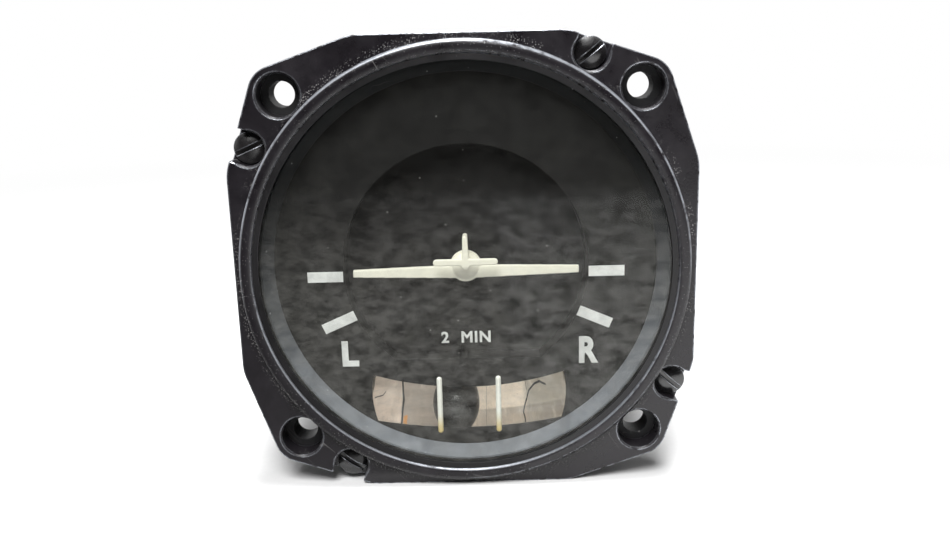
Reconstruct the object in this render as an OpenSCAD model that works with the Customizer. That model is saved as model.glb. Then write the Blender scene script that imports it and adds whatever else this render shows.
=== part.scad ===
// Rate of turn indicator for an instrument panel: a gyro in a tilted gimbal banks a small
// aeroplane over the dial, and a ball in a curved tube shows slip.
// The dial faces -Y and +Z is up. The origin is on the axis of the case, in the face of the
// flange that lies against the panel.

/* [Flange] */
// Spacing of the mounting holes, on a square
mount_pitch = 62.87; // [58:0.01:72]
// Distance of the mounting holes from the outside of the case
mount_gap = 4.856; // [4.4:0.001:6]
// How far the flat edges of the flange stand out from the case
flange_step = 1.7; // [1.5:0.1:4]
// Length of each flat edge, between the slanted ones
flat_len = 36.8; // [30:0.2:40]
// Radius of the corner round each mounting hole
corner_r = 5.15; // [5:0.05:6]
// Radius of the soft bends between the flat and the slanted edges
bend_round_r = 9; // [2:0.5:14]
// Thickness of the flange of the case
case_flange_t = 4.5; // [4:0.1:6]
// Thickness of the bezel
bezel_t = 4.2; // [4:0.1:5]
// Diameter of the mounting holes
mount_hole_d = 4.6; // [3.6:0.1:5]
// Diameter of the recess for the head of a mounting screw
mount_head_d = 7.5; // [7:0.1:8]
// Distance of the bezel screws from the lip
bezel_screw_gap = 3.4; // [3.1:0.01:3.9]
// Angle of the first bezel screw, from the right
bezel_screw_at = 59; // [57:0.1:61]
// Diameter of the thread of a bezel screw
bezel_screw_d = 2.8; // [2.4:0.1:3]
// Diameter of the head of a bezel screw
bezel_head_d = 5.6; // [5:0.1:5.8]
// Depth of the notches for the bezel screws
notch_depth = 3.0; // [2.5:0.1:3.2]

/* [Window] */
// Wall of the case round the seat of the chassis
seat_wall = 1.1; // [0.8:0.1:1.6]
// Width of the step between the bore of the glass and the seat of the chassis
seat_step = 0.7; // [0.5:0.1:1]
// Width of the raised lip round the window
lip_w = 2.36; // [2:0.02:2.6]
// Height of the lip above the flange
lip_h = 1.8; // [1.6:0.1:2.4]
// Width of the retaining ring of the glass
snap_w = 1.05; // [0.8:0.05:1.2]
// Thickness of the retaining ring
snap_t = 0.6; // [0.4:0.1:0.8]
// Thickness of the glass
glass_t = 1.6; // [1.2:0.1:1.8]
// Thickness of the gasket behind the glass
gasket_t = 0.3; // [0.2:0.05:0.4]
// Width of the grey reflector ring, seen from the front
reflector_w = 2.05; // [1.5:0.05:3]

/* [Dial] */
// Depth of the dial behind the front of the flange
dial_sink = 2.7; // [2.4:0.1:3.2]
// Thickness of the dial plate
dial_t = 0.5; // [0.4:0.1:0.8]
// Width of the dial between the window's edge and the round recess
dial_band = 14.55; // [13:0.05:16]
// Depth of the recess behind the dial
recess_depth = 4.0; // [3.6:0.1:5]
// Width of the dial between the recess and the curved slot
dial_web = 4.75; // [4:0.05:6]
// Length of the white marks
mark_len = 6.5; // [5:0.1:7]
// Width of the white marks
mark_w = 1.93; // [1.4:0.01:2.2]
// Distance from the recess to the inner end of a mark
mark_gap = 0.15; // [0.1:0.05:1]
// Angle of the standard rate marks below the level marks
rate_angle = 23.4; // [18:0.1:26]

/* [Aeroplane] */
// Gap between a wing tip and the edge of the recess
wing_gap = 1.45; // [1:0.05:2]
// Height of the wings at the root
wing_root_h = 2.3; // [1.8:0.1:2.6]
// Height of the wings at the tip
wing_tip_h = 1.3; // [1:0.1:1.6]
// Thickness of the wings from front to back
wing_t = 1.1; // [0.8:0.1:1.4]
// Distance of the wings below the axis
wing_drop = 1.5; // [1:0.1:1.8]
// Radius of the round body
body_r = 2.9; // [2.5:0.1:3.1]
// How far the middle of the fuselage hangs below the axis
body_sag = 0.45; // [0:0.05:0.6]
// How far the fuselage stands out in front of the wing
body_bulge = 1.0; // [0.9:0.1:1.4]
// Diameter of the tail boom
boom_d = 1.8; // [1.4:0.1:2.2]
// Height of the tail boom above the axis
boom_rise = 0.45; // [0:0.05:0.6]
// Span of the tailplane
tail_span = 11.7; // [9:0.1:13]
// Height of the tip of the fin above the axis
fin_top = 5.8; // [5:0.1:7]

/* [Slip ball] */
// Outer diameter of the curved tube
tube_d = 10.2; // [9.8:0.1:10.3]
// Wall of the tube
tube_wall = 0.4; // [0.3:0.05:0.7]
// Radius of the bend of the tube, at its middle
tube_bend_r = 89.3; // [86:0.1:94]
// How much lower the tube hangs than the middle of the slot
tube_lower = 1.5; // [1:0.1:2]
// Clearance all round the ball in the tube
ball_clear = 0.2; // [0.15:0.05:0.3]
// Sideways place of the ball at rest, left of the middle
ball_rest = 2.6; // [0:0.1:4]
// Width of the dial beside each end of the slot
slot_side = 6.73; // [6:0.01:8]
// Height of the slot in the dial
slot_h = 9.1; // [8.6:0.1:9.2]
// How much the upper edge of the slot sags more than the lower one
slot_sag = 0.85; // [0:0.05:1.2]
// Distance of the middle of the slot from the edge of the window
slot_edge = 9.75; // [9:0.05:11]
// Spacing of the two reference wires
wire_pitch = 11.0; // [10:0.1:12]
// Diameter of the reference wires
wire_d = 1.0; // [0.8:0.05:1.1]

/* [Case] */
// Wall of the case
case_wall = 1.6; // [1.2:0.1:1.8]
// Least room between the circuit board and the end of the case
rear_room = 17; // [16.5:0.1:24]
// Thickness of the rear cover
cover_t = 2.5; // [2:0.1:4]
// Diameter of the screws of the rear cover
cover_screw_d = 2.8; // [2.4:0.1:3.5]

/* [Connector] */
// Height of the connector above the axis
plug_z = 11; // [9:0.5:14]
// Width of the square flange of the connector
plug_flange_w = 25.4; // [24:0.1:26]
// Outer diameter of the threaded barrel
plug_d = 15.88; // [15:0.02:16]
// Length of the barrel behind the rear cover
plug_len = 14; // [13:0.5:16]
// Length of the pins beyond the insert
pin_len = 5.5; // [4:0.1:5.5]

/* [Gyro] */
// Angle of the gimbal axis above the case axis
tilt = 30; // [28:0.5:32]
// Diameter of the rotor
rotor_d = 35; // [32:0.5:35]
// Width of the rotor
rotor_w = 20; // [18:0.5:21]
// Diameter of the rotor axle
axle_d = 4; // [3:0.1:4.2]
// Thickness of the bars of the gimbal
bar_t = 4; // [3.5:0.1:4.5]
// Height of the bars of the gimbal
bar_h = 10; // [8:0.5:11]
// Greatest tilt of the gimbal to each side
gimbal_stop = 12; // [10:0.5:12]
// Distance of the drive pin from the gimbal axis
drive_r = 20; // [19:0.1:21]
// How many times further the pointer turns, from the lengths of the arms
step_up = 3; // [2.8:0.1:3.2]
// Diameter of the ball end of the drive pin
drive_ball_d = 2; // [1.6:0.1:2.2]
// Distance of the damper pin from the gimbal axis
damper_r = 18; // [17:0.1:19]
// Outer diameter of the damper cylinder
damper_d = 9; // [8:0.1:10]
// Diameter of the damper bore
damper_bore = 6.6; // [5:0.1:7]

/* [Chassis] */
// Thickness of the front plate
plate_t = 2.0; // [1.6:0.1:2.4]
// Thickness of the floor of the recess
floor_t = 3.0; // [2.5:0.1:3.5]
// Thickness of the rear plate
rear_plate_t = 3.0; // [2.5:0.1:4]
// Diameter of the posts
post_d = 6; // [5:0.1:6.4]
// Gap between a post and the ledge of the case
post_gap = 1.08; // [0.8:0.01:2]
// Angle of the posts above and below the sides
post_angle = 23.53; // [20:0.01:30]
// Diameter of the pointer shaft
shaft_d = 2; // [1.5:0.1:2.4]
// Outer diameter of the pointer bearings
pointer_race_d = 6; // [5:0.1:6.5]
// Outer diameter of the gimbal bearings
gimbal_race_d = 8; // [7:0.1:8.5]

/* [Clearances] */
// Gap round a shaft that turns in its bearing
run_clear = 0.04; // [0.02:0.01:0.08]
// Gap round a piece that is pressed or seated
fit_clear = 0.02; // [0.01:0.01:0.05]
// Gap beside a ring or plate that drops into its seat
seat_clear = 0.1; // [0.05:0.01:0.15]
// Gap beside the ball of the drive pin and the damper pin
slot_clear = 0.2; // [0.15:0.01:0.3]
// Gap between the gimbal and its stops at full tilt
stop_gap = 0.35; // [0.3:0.05:0.6]

/* [Hidden] */

$fn = 64;
// Overlap of a cutting tool with the face that it breaks through
cut = 0.5;

// Round the axis, from the mounting holes inwards
mount_half = mount_pitch / 2;
case_d = 2 * (mount_half * sqrt(2) - mount_gap);
flange_w = case_d + 2 * flange_step;
seat_r = case_d / 2 - seat_wall;
bore_r = seat_r - seat_step;
window_d = 2 * (bore_r - snap_w);
dial_view_d = window_d - 2 * reflector_w;
recess_d = window_d - 2 * dial_band;
slot_drop = window_d / 2 - slot_edge;
slot_len = 2 * (sqrt(pow(window_d / 2, 2) - pow(slot_drop, 2)) - slot_side);
chord_drop = slot_drop - slot_h / 2 - dial_web;
tube_drop = slot_drop + tube_lower;
mark_from = recess_d / 2 + mark_gap;
wing_span = recess_d - 2 * wing_gap;

// Places along Y, from the front backwards
bezel_front = -(case_flange_t + bezel_t);
lip_crest = bezel_front - lip_h;
snap_sink = 0.3;
snap_front = lip_crest + snap_sink;
glass_front = snap_front + snap_t;
glass_back = glass_front + glass_t;
shelf_front = glass_back + gasket_t;
dial_front = bezel_front + dial_sink;
plate_front = dial_front + dial_t;
plate_back = plate_front + plate_t;
lining_t = 0.5;
lining_front = dial_front + recess_depth;
floor_front = lining_front + lining_t;
floor_back = floor_front + floor_t;
notch_floor = bezel_front + notch_depth;

// Radii round the window
lip_r = bore_r + lip_w;
lip_round = 0.5;
shelf_w = 0.8;
shelf_r = bore_r - shelf_w;
ledge_w = 0.6;
ledge_r = seat_r - ledge_w;
ledge_t = 5;
plate_r = seat_r - seat_clear;
seal_in_r = seat_r + 0.8;
seal_out_r = seal_in_r + 0.95;
seal_t = 0.8;
recess_r = recess_d / 2;
cup_wall = 1.0;

// Screw places
bezel_screw_r = lip_r + bezel_screw_gap;
notch_r = bezel_head_d / 2 + 0.25;
notch_rim = 0.35;
notch_side = notch_r - 0.03;
bezel_head_t = 1.8;
// How the screws' slots stand, from the upper right one round
slot_turns = [38, 23, -35, -42];

// Slip ball
tube_r = tube_d / 2;
tube_y = plate_front + tube_r + seat_clear;
tube_in_r = tube_r - tube_wall;
bend_z = tube_bend_r - tube_drop;
ball_r = tube_in_r - ball_clear;
tube_past = 1.74;
tube_half_angle = asin((slot_len / 2 + tube_past) / tube_bend_r);
plug_angle = 0.35;
backing_half_angle = tube_half_angle - 2 * plug_angle;
holder_half_angle = backing_half_angle - 3.7;
holder_t = 1.4;
backing_t = 0.4;
slot_corner_rise = 2.6;
slot_end_z = slot_drop - slot_corner_rise;
wire_top = slot_h / 2 + 0.9;
wire_bottom = slot_h / 2 + 0.15;
opening_half_h = sqrt(tube_r * tube_r - pow(tube_y - plate_back, 2)) + 0.25;

// Pointer drive. The fork hangs from the pointer shaft and the drive pin from the gimbal.
fork_t = 1.6;
fork_r = drive_r / step_up;
bridge_len = 11.5;
bridge_back = floor_back + bridge_len;
bridge_r = pointer_race_d / 2 + 2;
fork_front = bridge_back + 2.7;
fork_y = fork_front + fork_t / 2;
axis_rise = drive_r / cos(tilt) - fork_r;
gimbal_y = fork_y + axis_rise / tan(tilt);

// Gimbal, in its own tilted frame: its axis is along Y and the rotor's along X
rotor_r = rotor_d / 2;
end_gap = 2.5;
side_gap = 6;
bar_in_y = rotor_r + end_gap;
bar_out_y = bar_in_y + bar_t;
bar_in_x = rotor_w / 2 + side_gap;
bar_out_x = bar_in_x + bar_t;
bearing_from = bar_out_y + 2.5;
bearing_t = 4;
boss_back = 1;
boss_r = gimbal_race_d / 2 + 2.5;
pivot_d = 3;

// The drive arm hangs upright below the front bar
arm_half = 2;
arm_t = 3;
arm_front = gimbal_y - (bar_out_y - 1) * cos(tilt) - 2.1;
arm_tip = fork_r + 2;
arm_top = bar_out_y * sin(tilt) - 4;
stop_r = 1;
stop_drop = 1;
stop_lever = (gimbal_y - arm_front) * sin(tilt) + (stop_drop + stop_r) * cos(tilt);
stop_x = (arm_half + stop_gap + stop_r + stop_lever * sin(gimbal_stop)) / cos(gimbal_stop);
drive_pin_d = 1.4;

// Spring over the front bar, and its arm
spring_y = -(bar_in_y + bar_t / 2);
spring_low = bar_h / 2 + 3.5;
spring_arm_t = 2;
spring_arm_front = bearing_from + bearing_t + boss_back;
spring_arm_half = 3;
spring_arm_gap = 2.33;
spring_top = (case_d / 2 - case_wall - spring_arm_gap - spring_arm_front * sin(tilt)) / cos(tilt);
spring_high = spring_top - spring_arm_t;
spring_coil_r = 1.8;
spring_wire = 0.5;
spring_curls = 8;
pad_top = boss_r + 1;
spring_post_d = 2;

// Damper, in the tilted frame too
damper_pin_d = 2;
yoke_y = bearing_from + 0.5;
rod_z = damper_r + 5;
rod_d = 2;
damper_x = 8;
cap_t = 2;
stroke = damper_r * gimbal_stop * PI / 180;
piston_t = 4;
damper_slack = 0.8;
chamber = 2 * (stroke + damper_slack) + piston_t;
piston_x = damper_x + cap_t + chamber / 2;
yoke_wall = 1.5;
yoke_t = 1.6;
yoke_past = 4;
clamp_w = 6;
clamp_wall = 1.6;

// Rear of the chassis and what it carries
rod_world_y = gimbal_y + yoke_y * cos(tilt) + rod_z * sin(tilt);
rod_world_z = rod_z * cos(tilt) - yoke_y * sin(tilt);
rear_plate_front = rod_world_y + damper_d / 2 + 5.5;
rear_plate_back = rear_plate_front + rear_plate_t;
case_in_r = case_d / 2 - case_wall;
rear_plate_r = case_in_r - 0.6;
standoff_len = 6;
standoff_d = 4.5;
board_t = 1.6;
board_w = 50;
board_h = 36;
board_front = rear_plate_back + standoff_len;
board_back = board_front + board_t;
standoff_x = board_w / 2 - 4;
standoff_z = board_h / 2 - 4;
beam_w = 10;
beam_h = 7;
pointer_flange_r = stop_x + stop_r + 1;
rear_beam_z = -(bearing_from + bearing_t / 2) * sin(tilt);
lead_hole = [-12, 22];
lead_d = 1.2;
lead_pitch = 2.2;
pin_tail = 3;

// Rear cover and connector. The length of the case is rounded up to a whole millimetre
case_len = ceil(board_back + rear_room);
cover_gasket_t = 0.5;
cover_front = case_len + cover_gasket_t;
cover_back = cover_front + cover_t;
rear_boss_d = 7;
rear_boss_len = 10;
rear_screw_len = cover_back - case_len + rear_boss_len - 2;
rear_boss_at = case_in_r - rear_boss_d / 2 + 0.5;
plug_flange_t = 2.5;
plug_back = cover_back + plug_len;
plug_cavity_r = plug_d / 2 - 1.5;
plug_cavity = pin_len + 4.5;
plug_tail = 8;
plug_screw_pitch = 18.24;
plug_screw_d = 2.2;
plug_pins = 3;
plug_pin_d = 1.6;
plug_pin_circle = 6;
insert_front = cover_front - plug_tail;
insert_back = plug_back - plug_cavity;
plate_w = 28;
plate_h = 13;
label_t = 0.4;
label_drop = 18;
thread_pitch = 1.06;

// Shapes drawn in X and Z, and made solid between two places along Y
module slab(front, back) {
    translate([0, back, 0])
        rotate([90, 0, 0])
            linear_extrude(back - front)
                children();
}

module bar_y(d, front, back) {
    translate([0, front, 0])
        rotate([-90, 0, 0])
            cylinder(d = d, h = back - front, $fn = d > 30 ? 256 : 48);
}

module tube_y_ring(d_out, d_in, front, back) {
    difference() {
        bar_y(d_out, front, back);
        bar_y(d_in, front - cut, back + cut);
    }
}

// Profiles are drawn as radius and place along Y
module turned() {
    rotate([-90, 0, 0])
        rotate_extrude($fn = 128)
            children();
}

module bar_x(d, from, to) {
    translate([from, 0, 0])
        rotate([0, 90, 0])
            cylinder(d = d, h = to - from);
}

module box(low, high) {
    translate(low)
        cube(high - low);
}

module at_each(places) {
    for (p = places)
        translate([p[0], 0, p[1]])
            children();
}

mount_places = [for (x = [-1, 1], z = [-1, 1]) [x, z] * mount_half];
post_ring = ledge_r - post_gap - post_d / 2;
post_x = post_ring * cos(post_angle);
post_z = post_ring * sin(post_angle);
post_places = [for (x = [-1, 1], z = [-1, 1]) [x * post_x, z * post_z]];
standoff_places = [for (x = [-1, 1], z = [-1, 1]) [x * standoff_x, z * standoff_z]];
rear_screw_places = [for (a = [45:90:315]) [cos(a), sin(a)] * rear_boss_at];
plug_screw_places = [
    for (x = [-1, 1], z = [-1, 1]) [x * plug_screw_pitch / 2, plug_z + z * plug_screw_pitch / 2]
];
rivet_places = [for (x = [-1, 1]) [x * (plate_w / 2 - 2.5), -label_drop]];

module at_bezel_screws() {
    for (a = [0:90:270])
        rotate([0, -(a + bezel_screw_at), 0])
            translate([bezel_screw_r, 0, 0])
                children();
}

// The tilted frame of the gimbal
module in_gimbal() {
    translate([0, gimbal_y, 0])
        rotate([-tilt, 0, 0])
            children();
}

// Outline of the flange: eight straight edges with soft bends, round at the four mounting holes
flat_half = flange_w / 2;
flat_end = [flat_len / 2, flat_half];
corner_at = [mount_half, mount_half];
corner_way = corner_at - flat_end;
corner_dist = norm(corner_way);
slant = atan2(corner_way[1], corner_way[0]) + asin(corner_r / corner_dist);
bend_at = flat_end - bend_round_r * [-tan(slant / 2), 1];

function turn(p, a) = [p[0] * cos(a) - p[1] * sin(a), p[0] * sin(a) + p[1] * cos(a)];

module flange_outline() {
    hull()
        for (x = [-1, 1], z = [-1, 1]) {
            translate([x, z] * mount_half)
                circle(corner_r);
            for (p = [bend_at, [bend_at[1], bend_at[0]]])
                translate([x * p[0], z * p[1]])
                    circle(bend_round_r, $fn = 128);
        }
}

module lip_profile() {
    translate([bore_r, bezel_front - lip_h + lip_round])
        square([lip_w, lip_h - lip_round + cut]);
    translate([bore_r + lip_round, lip_crest])
        square([lip_w - 2 * lip_round, lip_h]);
    for (r = [bore_r + lip_round, lip_r - lip_round])
        translate([r, lip_crest + lip_round])
            circle(lip_round, $fn = 24);
}

module notch() {
    depth = notch_floor - bezel_front;
    bar_y(2 * notch_r, bezel_front - cut, notch_floor);
    rotate([0, bezel_screw_at - (90 + slant), 0])
        box([0, bezel_front - cut, -notch_side], [12, notch_floor, notch_side]);
    translate([0, bezel_front - 0.01, 0])
        rotate([-90, 0, 0])
            cylinder(r1 = notch_r + notch_rim, r2 = notch_r, h = min(notch_rim, depth));
    bar_y(bezel_screw_d + 4 * seat_clear, notch_floor - cut, -case_flange_t + cut);
}

module bezel() {
    color("#1c1b1f")
        difference() {
            union() {
                slab(bezel_front, -case_flange_t) flange_outline();
                turned() lip_profile();
            }
            bar_y(2 * bore_r, lip_crest - cut, shelf_front);
            bar_y(2 * shelf_r, lip_crest - cut, cut);
            bar_y(2 * seat_r, plate_front, cut);
            tube_y_ring(2 * (bore_r + snap_w * 0.3), 2 * bore_r - 1, snap_front, glass_front);
            at_each(mount_places) {
                bar_y(mount_head_d, bezel_front - cut, cut);
                translate([0, bezel_front - 0.01, 0])
                    rotate([-90, 0, 0])
                        cylinder(d1 = mount_head_d + 0.7, d2 = mount_head_d, h = 0.35);
            }
            at_bezel_screws() notch();
        }
}

module screw(d, head_d, head_t, seat, tip, slot_w, slot_turn) {
    dome = head_d * 0.9;
    difference() {
        union() {
            intersection() {
                bar_y(head_d, seat - head_t, seat);
                translate([0, seat - head_t + dome, 0])
                    sphere(dome);
            }
            bar_y(d, seat, tip);
        }
        rotate([0, slot_turn, 0])
            box([-head_d, seat - head_t - cut, -slot_w / 2], [head_d, seat - head_t * 0.55, slot_w / 2]);
    }
}

module bezel_screws() {
    color("#232226")
        for (i = [0:3])
            rotate([0, -(90 * i + bezel_screw_at), 0])
                translate([bezel_screw_r, 0, 0])
                    screw(bezel_screw_d, bezel_head_d, bezel_head_t, notch_floor, -0.3, 0.8,
                        90 * i + bezel_screw_at - slot_turns[i]);
}

module window_retaining_ring() {
    color("#18181a")
        tube_y_ring(2 * (bore_r + snap_w * 0.3 - fit_clear), window_d, snap_front, glass_front);
}

module window_glass() {
    color("#c9d6da", 0.3)
        bar_y(2 * (bore_r - seat_clear), glass_front, glass_back);
}

module window_gasket() {
    color("#202022")
        tube_y_ring(2 * (bore_r - seat_clear), 2 * (shelf_r + seat_clear), glass_back, shelf_front);
}

module reflector_ring() {
    color("#8b929c")
        difference() {
            bar_y(2 * (shelf_r - seat_clear / 2), glass_back + seat_clear / 2, dial_front);
            translate([0, glass_back, 0])
                rotate([-90, 0, 0])
                    cylinder(d1 = window_d - 0.2, d2 = dial_view_d, h = dial_front - glass_back, $fn = 256);
            bar_y(dial_view_d, dial_front - cut, dial_front + cut);
        }
}

module recess_shape(grow) {
    intersection() {
        circle(recess_r + grow, $fn = 96);
        translate([-recess_r - 5, -chord_drop - grow])
            square([2 * recess_r + 10, 3 * recess_r]);
    }
}

// Upper edge of the slot: an arc through its two ends and its lowest point in the middle
slot_top_r = bend_z + slot_drop - slot_h / 2;
slot_top_z = -slot_drop + slot_h / 2 - slot_sag;
slot_top_rise = bend_z - sqrt(slot_top_r * slot_top_r - slot_len * slot_len / 4) - slot_top_z;
slot_arc_r = (slot_len * slot_len / 4 + slot_top_rise * slot_top_rise) / (2 * slot_top_rise);

module slot_shape(grow) {
    intersection() {
        difference() {
            translate([0, bend_z]) circle(bend_z + slot_drop + slot_h / 2 + grow, $fn = 256);
            translate([0, slot_top_z + slot_arc_r]) circle(slot_arc_r - grow, $fn = 256);
        }
        translate([0, -slot_end_z]) circle(slot_len / 2 + grow, $fn = 96);
    }
}

module dial_plate() {
    color("#141416")
        slab(dial_front, plate_front)
            difference() {
                circle(shelf_r - seat_clear, $fn = 256);
                recess_shape(0);
                slot_shape(0);
            }
}

module dial_marks() {
    color("#ece9e0")
        slab(dial_front - 0.08, dial_front)
            for (side = [0, 1])
                mirror([side, 0]) {
                    translate([mark_from, -wing_drop - mark_w / 2])
                        square([mark_len, mark_w]);
                    rotate(-rate_angle)
                        translate([mark_from, -mark_w / 2])
                            square([mark_len, mark_w]);
                }
}

module recess_lining() {
    color("#121214")
        slab(lining_front, floor_front)
            difference() {
                recess_shape(-seat_clear);
                circle(shaft_d / 2 + 0.6);
            }
}

module flange_seal() {
    color("#2a2a2c")
        tube_y_ring(2 * seal_out_r, 2 * seal_in_r, -case_flange_t, -case_flange_t + seal_t);
}

// The aeroplane is seen from behind: its wings are furthest from the window and its tail is nearest
wing_back = lining_front - 1.3;
wing_front = wing_back - wing_t;
tail_back = bezel_front + 1.85;
tail_front = bezel_front + 1.15;

module miniature_aeroplane() {
    color("#e9e2cb")
        difference() {
            union() {
                slab(wing_front, wing_back)
                    polygon([
                        [-wing_span / 2, -wing_drop - wing_tip_h / 2],
                        [-wing_span / 2, -wing_drop + wing_tip_h / 2],
                        [-body_r, -wing_drop + wing_root_h / 2],
                        [body_r, -wing_drop + wing_root_h / 2],
                        [wing_span / 2, -wing_drop + wing_tip_h / 2],
                        [wing_span / 2, -wing_drop - wing_tip_h / 2],
                        [body_r, -wing_drop - wing_root_h / 2],
                        [-body_r, -wing_drop - wing_root_h / 2]
                    ]);
                translate([0, 0, -body_sag]) {
                    difference() {
                        translate([0, wing_back, 0])
                            scale([1, (wing_t + body_bulge) / body_r, 1])
                                sphere(body_r);
                        box([-9, wing_back, -9], [9, wing_back + 9, 9]);
                    }
                    bar_y(2 * body_r, wing_front, wing_back);
                }
                slab(tail_front, tail_back) {
                    tail_z = body_r * 0.33;
                    translate([-tail_span / 2 + 0.6, tail_z - 0.6])
                        square([tail_span - 1.2, 1.2]);
                    for (x = [-1, 1])
                        translate([x * (tail_span / 2 - 0.6), tail_z])
                            circle(0.6, $fn = 24);
                }
                translate([0, 0, boom_rise])
                    bar_y(boom_d, tail_front + 0.1, wing_back);
                slab(tail_front, wing_front) {
                    polygon([[-0.62, 0], [0.62, 0], [0.46, fin_top - 0.46], [-0.46, fin_top - 0.46]]);
                    translate([0, fin_top - 0.46])
                        circle(0.46, $fn = 24);
                }
            }
            bar_y(shaft_d + 2 * fit_clear, wing_front - 0.6, wing_back + cut);
        }
}

module pointer_shaft() {
    color("#b9bcc0")
        bar_y(shaft_d, wing_front - 0.4, fork_front + fork_t);
}

module pointer_fork() {
    slot_half = drive_ball_d / 2 + slot_clear;
    color("#a8863f")
        difference() {
            slab(fork_front, fork_front + fork_t) {
                circle(shaft_d / 2 + 2);
                translate([-slot_half - 1.3, -fork_r - drive_ball_d - 1])
                    square([2 * (slot_half + 1.3), fork_r + drive_ball_d + 1]);
            }
            slab(fork_front - cut, fork_front + fork_t + cut)
                translate([-slot_half, -fork_r - drive_ball_d - 2])
                    square([2 * slot_half, 2 * drive_ball_d + 3]);
            bar_y(shaft_d + 2 * fit_clear, fork_front - cut, fork_front + fork_t + cut);
        }
}

race_t = 2.5;

module race(d_out, d_in, from, thick) {
    tube_y_ring(d_out, d_in, from, from + thick);
}

module pointer_bearings() {
    color("#c4c7cb")
        for (y = [floor_front, bridge_back - race_t])
            race(pointer_race_d, shaft_d + 2 * run_clear, y, race_t);
}

module pointer_bridge() {
    color("#9da1a6")
        difference() {
            union() {
                bar_y(2 * bridge_r, floor_back, bridge_back);
                bar_y(2 * pointer_flange_r, bridge_back - race_t, bridge_back);
                bar_y(2 * (bridge_r + 1), floor_back, floor_back + 1.5);
            }
            bar_y(pointer_race_d + 2 * fit_clear, bridge_back - race_t, bridge_back + cut);
            bar_y(shaft_d + 1.2, floor_back - cut, bridge_back);
            for (x = [-1, 1])
                translate([x * stop_x, 0, -stop_drop])
                    bar_y(2 * (stop_r + fit_clear), bridge_back - race_t - cut, bridge_back + cut);
        }
}

module stop_pins() {
    color("#55585c")
        for (x = [-1, 1])
            translate([x * stop_x, 0, -stop_drop])
                bar_y(2 * stop_r, bridge_back - race_t, arm_front + arm_t);
}

// Pieces along the curved tube are turned about the centre of its bend
module along_bend(half_angle) {
    translate([0, tube_y, bend_z])
        rotate([90, 0, 0])
            rotate(-90 - half_angle)
                rotate_extrude(angle = 2 * half_angle, $fn = 256)
                    translate([tube_bend_r, 0])
                        children();
}

module at_bend(angle) {
    translate([0, tube_y, bend_z])
        rotate([0, -angle, 0])
            translate([0, 0, -tube_bend_r])
                children();
}

module inclinometer_tube() {
    color("#cfd8d6", 0.35)
        along_bend(tube_half_angle)
            difference() {
                circle(tube_r);
                circle(tube_in_r);
            }
}

ball_angle = -asin(ball_rest / tube_bend_r);

module inclinometer_ball() {
    color("#0c0c0e")
        at_bend(ball_angle)
            sphere(ball_r);
}

module tube_end_plugs() {
    plug_arc = tube_half_angle - plug_angle;
    color("#b7b1a2")
        for (side = [-1, 1])
            translate([0, tube_y, bend_z])
                rotate([90, 0, 0])
                    rotate(-90 + side * plug_arc - plug_angle)
                        rotate_extrude(angle = 2 * plug_angle, $fn = 256)
                            translate([tube_bend_r, 0])
                                circle(tube_in_r - fit_clear);
}

module tube_backing() {
    color("#b9a896")
        along_bend(backing_half_angle)
            intersection() {
                difference() {
                    circle(tube_r + fit_clear + backing_t);
                    circle(tube_r + fit_clear);
                }
                translate([-tube_d, -tube_d])
                    square([2 * tube_d, tube_d]);
            }
}

module tube_holder() {
    inner = tube_r + 2 * fit_clear + backing_t;
    color("#a4a8ad")
        union() {
            along_bend(holder_half_angle)
                intersection() {
                    difference() {
                        circle(inner + holder_t);
                        circle(inner);
                    }
                    translate([-tube_d, -tube_d])
                        square([2 * tube_d, tube_d]);
                }
            along_bend(holder_half_angle)
                for (side = [-1, 1])
                    translate([side * (inner + holder_t / 2) - holder_t / 2, 0])
                        square([holder_t, tube_y - plate_back]);
        }
}

// The wires lie on the dial, across the slot
module reference_wires() {
    color("#e6dfc4")
        for (x = [-1, 1])
            translate([x * wire_pitch / 2, dial_front - wire_d / 2, -slot_drop]) {
                translate([0, 0, -wire_bottom]) cylinder(d = wire_d, h = wire_bottom + wire_top, $fn = 24);
                for (z = [-wire_bottom, wire_top])
                    translate([0, 0, z]) sphere(d = wire_d, $fn = 24);
            }
}

module case() {
    color("#1e1e21")
        difference() {
            union() {
                slab(-case_flange_t, 0) flange_outline();
                bar_y(case_d, -cut, case_len);
            }
            difference() {
                union() {
                    bar_y(2 * ledge_r, -case_flange_t - cut, case_len);
                    bar_y(2 * seat_r, -case_flange_t - cut, plate_back);
                    bar_y(2 * case_in_r, plate_back + ledge_t, case_len + cut);
                }
                at_each(rear_screw_places)
                    bar_y(rear_boss_d, case_len - rear_boss_len, case_len + 1);
            }
            tube_y_ring(2 * seal_out_r, 2 * seal_in_r, -case_flange_t - cut, -case_flange_t + seal_t);
            at_each(mount_places)
                bar_y(mount_hole_d, -case_flange_t - cut, cut);
            at_bezel_screws()
                bar_y(bezel_screw_d + 2 * fit_clear, -case_flange_t - cut, cut);
            at_each(rear_screw_places)
                bar_y(cover_screw_d + 2 * fit_clear, case_len - rear_boss_len + 1, case_len + cut);
        }
}

module rear_gasket() {
    color("#2b2b2d")
        difference() {
            tube_y_ring(case_d, 2 * (rear_boss_at - rear_boss_d / 2), case_len, cover_front);
            at_each(rear_screw_places)
                bar_y(cover_screw_d + 4 * seat_clear, case_len - cut, cover_front + cut);
        }
}

module rear_cover() {
    color("#242427")
        difference() {
            bar_y(case_d, cover_front, cover_back);
            at_each(rear_screw_places)
                bar_y(cover_screw_d + 4 * seat_clear, cover_front - cut, cover_back + cut);
            translate([0, 0, plug_z])
                bar_y(plug_d + 2 * seat_clear, cover_front - cut, cover_back + cut);
            at_each(plug_screw_places)
                bar_y(plug_screw_d + 2 * fit_clear, cover_front - cut, cover_back + cut);
            at_each(rivet_places)
                bar_y(1.6 + 2 * fit_clear, cover_front - cut, cover_back + cut);
        }
}

module rear_facing(seat) {
    translate([0, seat, 0])
        rotate([0, 0, 180])
            children();
}

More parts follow.
